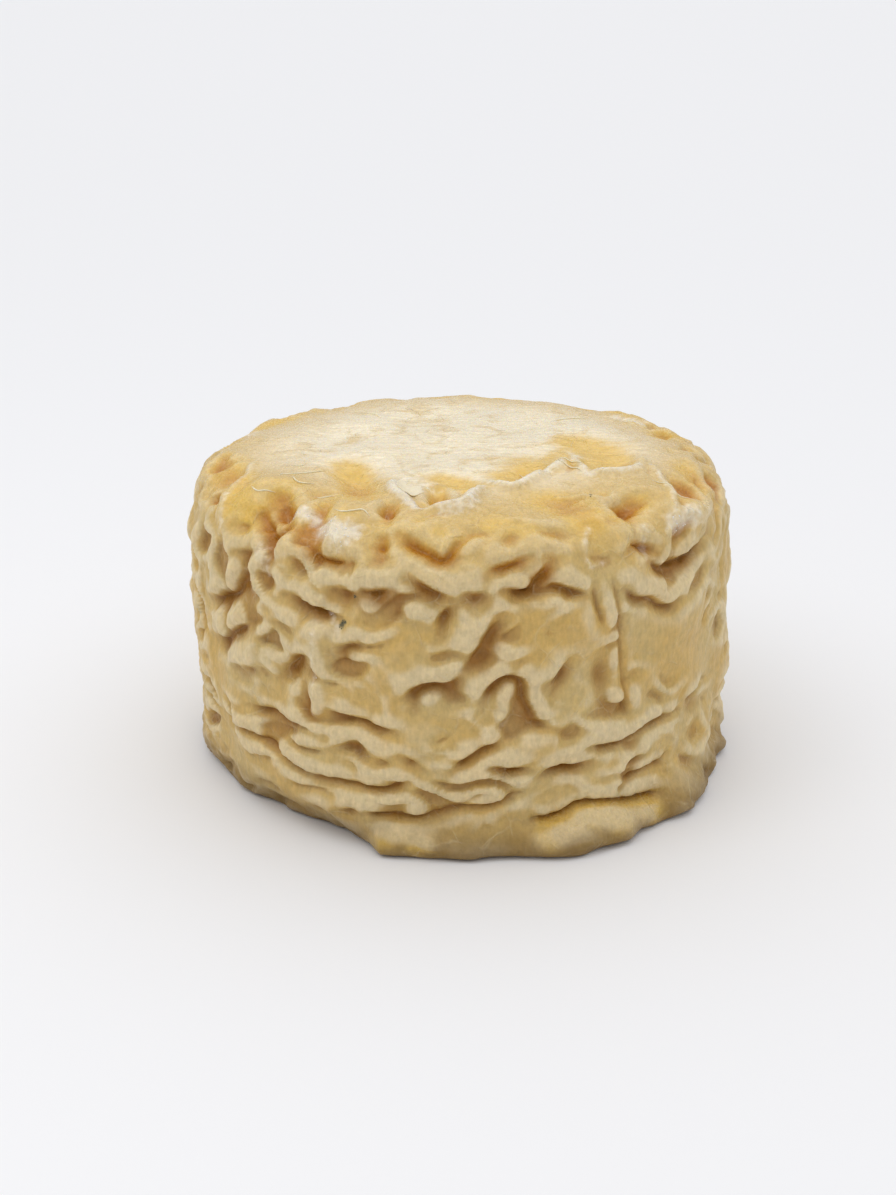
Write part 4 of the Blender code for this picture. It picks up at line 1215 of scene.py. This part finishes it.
class CheeseRind(bpy.types.PropertyGroup):
    """Sizes and colours of the rind"""

    puff: bpy.props.FloatProperty(
        name="Puff", description="How far crests swell out sideways over the crevices",
        default=0.22 * MM, unit="LENGTH", precision=5,
    )
    stretch_height: bpy.props.FloatProperty(
        name="Stretch line height", description="Height of the upright stretch lines on the wall",
        default=0.35 * MM, unit="LENGTH", precision=5,
    )
    stretch_spacing: bpy.props.FloatProperty(
        name="Stretch line spacing", description="Distance between the upright stretch lines",
        default=1.7 * MM, unit="LENGTH", precision=5,
    )
    grain_height: bpy.props.FloatProperty(
        name="Grain height", description="Height of the fine grain of the skin",
        default=0.18 * MM, unit="LENGTH", precision=5,
    )
    grain_spacing: bpy.props.FloatProperty(
        name="Grain spacing", description="Distance between the grains of the skin",
        default=1.3 * MM, unit="LENGTH", precision=5,
    )
    tan: bpy.props.FloatVectorProperty(
        name="Tan", description="Dry skin on the wall",
        subtype="COLOR", min=0, max=1, default=linear("#CDB275"),
    )
    straw: bpy.props.FloatVectorProperty(
        name="Straw", description="Yellower skin on the wall",
        subtype="COLOR", min=0, max=1, default=linear("#D0AD64"),
    )
    # The foot colour is partly the skin's own tone, partly painted shade near the ground
    foot: bpy.props.FloatVectorProperty(
        name="Foot", description="Skin round the foot, pressed and yellower",
        subtype="COLOR", min=0, max=1, default=linear("#775820"),
    )
    shoulder: bpy.props.FloatVectorProperty(
        name="Shoulder", description="Damp skin of the shoulder",
        subtype="COLOR", min=0, max=1, default=linear("#D8B873"),
    )
    cream: bpy.props.FloatVectorProperty(
        name="Cream", description="Skin of the top",
        subtype="COLOR", min=0, max=1, default=linear("#EFE1C1"),
    )
    # The pale of the crests is partly dry skin, partly painted light on the raised folds
    crest: bpy.props.FloatVectorProperty(
        name="Crest", description="Dry crests of the folds",
        subtype="COLOR", min=0, max=1, default=linear("#E6D4AB"),
    )
    # The ochre is the crevices' own colour, made darker as painted shade
    ochre: bpy.props.FloatVectorProperty(
        name="Ochre", description="Inside the crevices",
        subtype="COLOR", min=0, max=1, default=linear("#9C6C26"),
    )
    # The amber is the shoulder crevices' own colour, made darker as painted shade
    amber: bpy.props.FloatVectorProperty(
        name="Amber", description="Inside the wet crevices of the shoulder",
        subtype="COLOR", min=0, max=1, default=linear("#B97C24"),
    )
    butter: bpy.props.FloatVectorProperty(
        name="Butter", description="Ripe paste behind wet skin",
        subtype="COLOR", min=0, max=1, default=linear("#E0BA5C"),
    )
    bloom: bpy.props.FloatVectorProperty(
        name="Bloom", description="White bloom", subtype="COLOR", min=0, max=1, default=linear("#EFE9DA")
    )
    mould: bpy.props.FloatVectorProperty(
        name="Mould", description="Specks of mould",
        subtype="COLOR", min=0, max=1, default=linear("#4E5240"),
    )


class CheeseTrimmings(bpy.types.PropertyGroup):
    """Sizes of what lies on the rind"""

    bloom_per_area: bpy.props.FloatProperty(
        name="Bloom crumbs per square metre",
        description="How densely crumbs of bloom lie where the bloom is thickest",
        default=0.8e6, min=0,
    )
    crumb_size: bpy.props.FloatProperty(
        name="Crumb size", description="Width of the largest crumb of bloom",
        default=0.3 * MM, unit="LENGTH", precision=5,
    )
    # The threads' pale colour is painted highlight on the wet shoulder
    thread_thickness: bpy.props.FloatProperty(
        name="Thread thickness", description="Thickness of the dried threads of whey",
        default=0.22 * MM, unit="LENGTH", precision=5,
    )
    skin_thickness: bpy.props.FloatProperty(
        name="Torn skin thickness", description="Thickness of the flap of skin that has torn loose",
        default=0.18 * MM, unit="LENGTH", precision=5,
    )


class CheeseStage(bpy.types.PropertyGroup):
    """The floor, the lights and the camera"""

    floor_colour: bpy.props.FloatVectorProperty(
        name="Floor", description="Colour of the floor",
        subtype="COLOR", min=0, max=1, default=linear("#EFEFF0"),
    )
    sky_strength: bpy.props.FloatProperty(
        name="Sky strength", description="Strength of the even light from all round", default=0.52, min=0
    )
    lamp_strength: bpy.props.FloatProperty(
        name="Lamp strength", description="Strength of the wide soft lamp", default=1.7, min=0
    )
    window_power: bpy.props.FloatProperty(
        name="Window power", description="Power of the lamp that gives the wet skin its gloss",
        default=0.09, min=0,
    )


class CHEESE_OT_rind(bpy.types.Operator):
    """Build the wrinkled rind over the whole wheel"""

    bl_idname = "cheese.rind"
    bl_label = "Rind"

    def execute(self, context):
        looks = context.scene.cheese_rind
        rind = linked("rind", smooth_rind())
        finished_by(
            rind,
            rind_relief_tree(),
            {
                "Puff": looks.puff,
                "Stretch_height": looks.stretch_height,
                "Stretch_spacing": looks.stretch_spacing,
                "Grain_height": looks.grain_height,
                "Grain_spacing": looks.grain_spacing,
                "Rind": washed_rind(),
            },
        )
        centred_as_solid(rind.data)
        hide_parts("cheese_wheel")
        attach(rind, "root")
        return {"FINISHED"}


class CHEESE_OT_crumbs(bpy.types.Operator):
    """Scatter crumbs of white bloom, and the specks of mould"""

    bl_idname = "cheese.crumbs"
    bl_label = "Bloom crumbs and mould specks"

    def execute(self, context):
        sizes = context.scene.cheese_trimmings
        rind = bpy.data.objects["rind"]
        kinds = (
            ("bloom_crumbs", "bloom", sizes.bloom_per_area, sizes.crumb_size, "#F6F1E6", 0.45),
            ("mould_specks", "mould", MOULD_PER_AREA, MOULD_SIZE, "#4A5243", 0.8),
        )
        for seed, (name, cover, per_area, largest, colour, roughness) in enumerate(kinds, 4):
            crumbs = linked(name, rind.data.copy())
            finished_by(
                crumbs,
                crumbs_tree(),
                {
                    "Cover": cover,
                    "Per_area": per_area,
                    "Smallest": largest * SMALLEST_CRUMB,
                    "Largest": largest,
                    "Seed": seed,
                    "Crumb": plain_food(name, colour, roughness, 0.2),
                },
            )
            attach(crumbs, "root")
        return {"FINISHED"}


class CHEESE_OT_threads(bpy.types.Operator):
    """Lay the pale threads whose colour paints the thin highlights on the wet shoulder"""

    bl_idname = "cheese.threads"
    bl_label = "Dried threads"

    def execute(self, context):
        rind = bpy.data.objects["rind"]
        mesh = bpy.data.meshes.new("threads")
        strings = bmesh.new()
        for route in HIGHLIGHT_THREADS:
            bends = smooth_route(np.array(route, float), parts=5)
            beads = [strings.verts.new(on_rind(rind, *bend, THREAD_LIFT)) for bend in bends]
            for bead, after in zip(beads, beads[1:]):
                strings.edges.new((bead, after))
        strings.to_mesh(mesh)
        strings.free()
        threads = linked("highlight_threads", mesh)
        finished_by(
            threads,
            threads_tree(),
            {
                "Thickness": context.scene.cheese_trimmings.thread_thickness,
                # Pale, glossy threads: their colour is painted highlight
                "Thread": plain_food("thread_highlight", "#F3E6C4", 0.18, 0.3),
            },
        )
        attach(threads, "root")
        return {"FINISHED"}


class CHEESE_OT_torn_skin(bpy.types.Operator):
    """Lift the flap of pale skin that has torn loose on the shoulder"""

    bl_idname = "cheese.torn_skin"
    bl_label = "Torn skin"

    def execute(self, context):
        rind = bpy.data.objects["rind"]
        rims = [smooth_route(np.array(row[1], float)) for row in TORN_SKIN]
        sheet = bmesh.new()
        rows = [
            [sheet.verts.new(on_rind(rind, *spot, lift)) for spot in rim]
            for (lift, _), rim in zip(TORN_SKIN, rims)
        ]
        for row, above in zip(rows, rows[1:]):
            for corners in zip(row, row[1:], above[1:], above):
                sheet.faces.new(corners)
        bmesh.ops.recalc_face_normals(sheet, faces=sheet.faces[:])
        mesh = bpy.data.meshes.new("torn_skin")
        sheet.to_mesh(mesh)
        sheet.free()
        mesh.shade_smooth()
        flap = linked("torn_skin", mesh)
        mesh.materials.append(plain_food("dried_skin", "#EEDFBD", 0.38, 0.2))
        wall = flap.modifiers.new("wall", "SOLIDIFY")
        wall.thickness = context.scene.cheese_trimmings.skin_thickness
        wall.offset = 0
        rounded = flap.modifiers.new("rounded", "SUBSURF")
        rounded.levels = 2
        rounded.render_levels = 2
        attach(flap, "root")
        return {"FINISHED"}


class CHEESE_OT_stage(bpy.types.Operator):
    """Set up the pale floor, the soft light and the camera"""

    bl_idname = "cheese.stage"
    bl_label = "Stage"

    def execute(self, context):
        looks = context.scene.cheese_stage
        scene = context.scene
        # Matte paper: pressed fibres, which scatter light evenly and show no gloss
        material = bpy.data.materials.new("matte_paper")
        material.use_nodes = True
        shader = material.node_tree.nodes["Principled BSDF"]
        shader.inputs["Base Color"].default_value = (*looks.floor_colour, 1)
        shader.inputs["Roughness"].default_value = 0.9
        shader.inputs["Specular IOR Level"].default_value = 0.1
        sheet = bmesh.new()
        bmesh.ops.create_circle(sheet, cap_ends=True, segments=96, radius=FLOOR_RADIUS)
        mesh = bpy.data.meshes.new("floor")
        sheet.to_mesh(mesh)
        sheet.free()
        mesh.materials.append(material)
        linked("floor", mesh)

        world = bpy.data.worlds.new("even_sky")
        world.use_nodes = True
        sky = world.node_tree.nodes["Background"].inputs
        sky["Color"].default_value = (*linear("#F3F4F8"), 1)
        sky["Strength"].default_value = looks.sky_strength
        scene.world = world

        lamp = bpy.data.lights.new("wide_lamp", "SUN")
        lamp.energy = looks.lamp_strength
        lamp.angle = math.radians(LAMP_ANGLE)
        wide = linked("wide_lamp", lamp)
        wide.rotation_euler = (math.radians(LAMP_TILT), 0, 0)

        lamp = bpy.data.lights.new("window", "AREA")
        lamp.energy = looks.window_power
        lamp.shape = "RECTANGLE"
        lamp.size, lamp.size_y = WINDOW_SIZE
        window = linked("window", lamp)
        window.location = WINDOW_PLACE
        towards = Vector((0, 0, WHEEL_HIGH.z / 2)) - window.location
        window.rotation_euler = towards.to_track_quat("-Z", "Y").to_euler()

        eye = bpy.data.cameras.new("camera")
        eye.sensor_width = SENSOR_WIDTH
        eye.lens = FOCAL_PIXELS / PHOTO_HEIGHT * SENSOR_WIDTH
        eye.clip_start, eye.clip_end = SIGHT_RANGE
        camera = linked("camera", eye)
        camera.location = CAMERA_PLACE
        camera.rotation_euler = (math.pi / 2 - CAMERA_PITCH, 0, 0)
        scene.camera = camera
        scene.view_settings.view_transform = "Standard"
        return {"FINISHED"}


class CHEESE_PT_panel(bpy.types.Panel):
    """The pieces of the cheese wheel, in the order in which they are made"""

    bl_label = "Cheese wheel"
    bl_idname = "CHEESE_PT_panel"
    bl_space_type = "VIEW_3D"
    bl_region_type = "UI"
    bl_category = "Cheese"

    def draw(self, context):
        for operator in OPERATORS:
            self.layout.operator(operator.bl_idname)
        for group in GROUPS:
            for name in group.__annotations__:
                self.layout.prop(getattr(context.scene, GROUPS[group]), name)


OPERATORS = (
    CHEESE_OT_stage,
    CHEESE_OT_rind,
    CHEESE_OT_crumbs,
    CHEESE_OT_threads,
    CHEESE_OT_torn_skin,
)
GROUPS = {
    CheeseRind: "cheese_rind",
    CheeseTrimmings: "cheese_trimmings",
    CheeseStage: "cheese_stage",
}


def register():
    """Registers the add-on's classes and gives the scene its groups of properties."""
    for kind in (*GROUPS, *OPERATORS, CHEESE_PT_panel):
        bpy.utils.register_class(kind)
    for group, name in GROUPS.items():
        setattr(bpy.types.Scene, name, bpy.props.PointerProperty(type=group))


def unregister():
    """Takes back what register added."""
    for name in GROUPS.values():
        delattr(bpy.types.Scene, name)
    for kind in reversed((*GROUPS, *OPERATORS, CHEESE_PT_panel)):
        bpy.utils.unregister_class(kind)


def main():
    """Builds the wheel's looks."""
    register()
    bpy.ops.cheese.stage()
    bpy.ops.cheese.rind()
    bpy.ops.cheese.crumbs()
    bpy.ops.cheese.threads()
    bpy.ops.cheese.torn_skin()


if __name__ == "__main__":
    main()
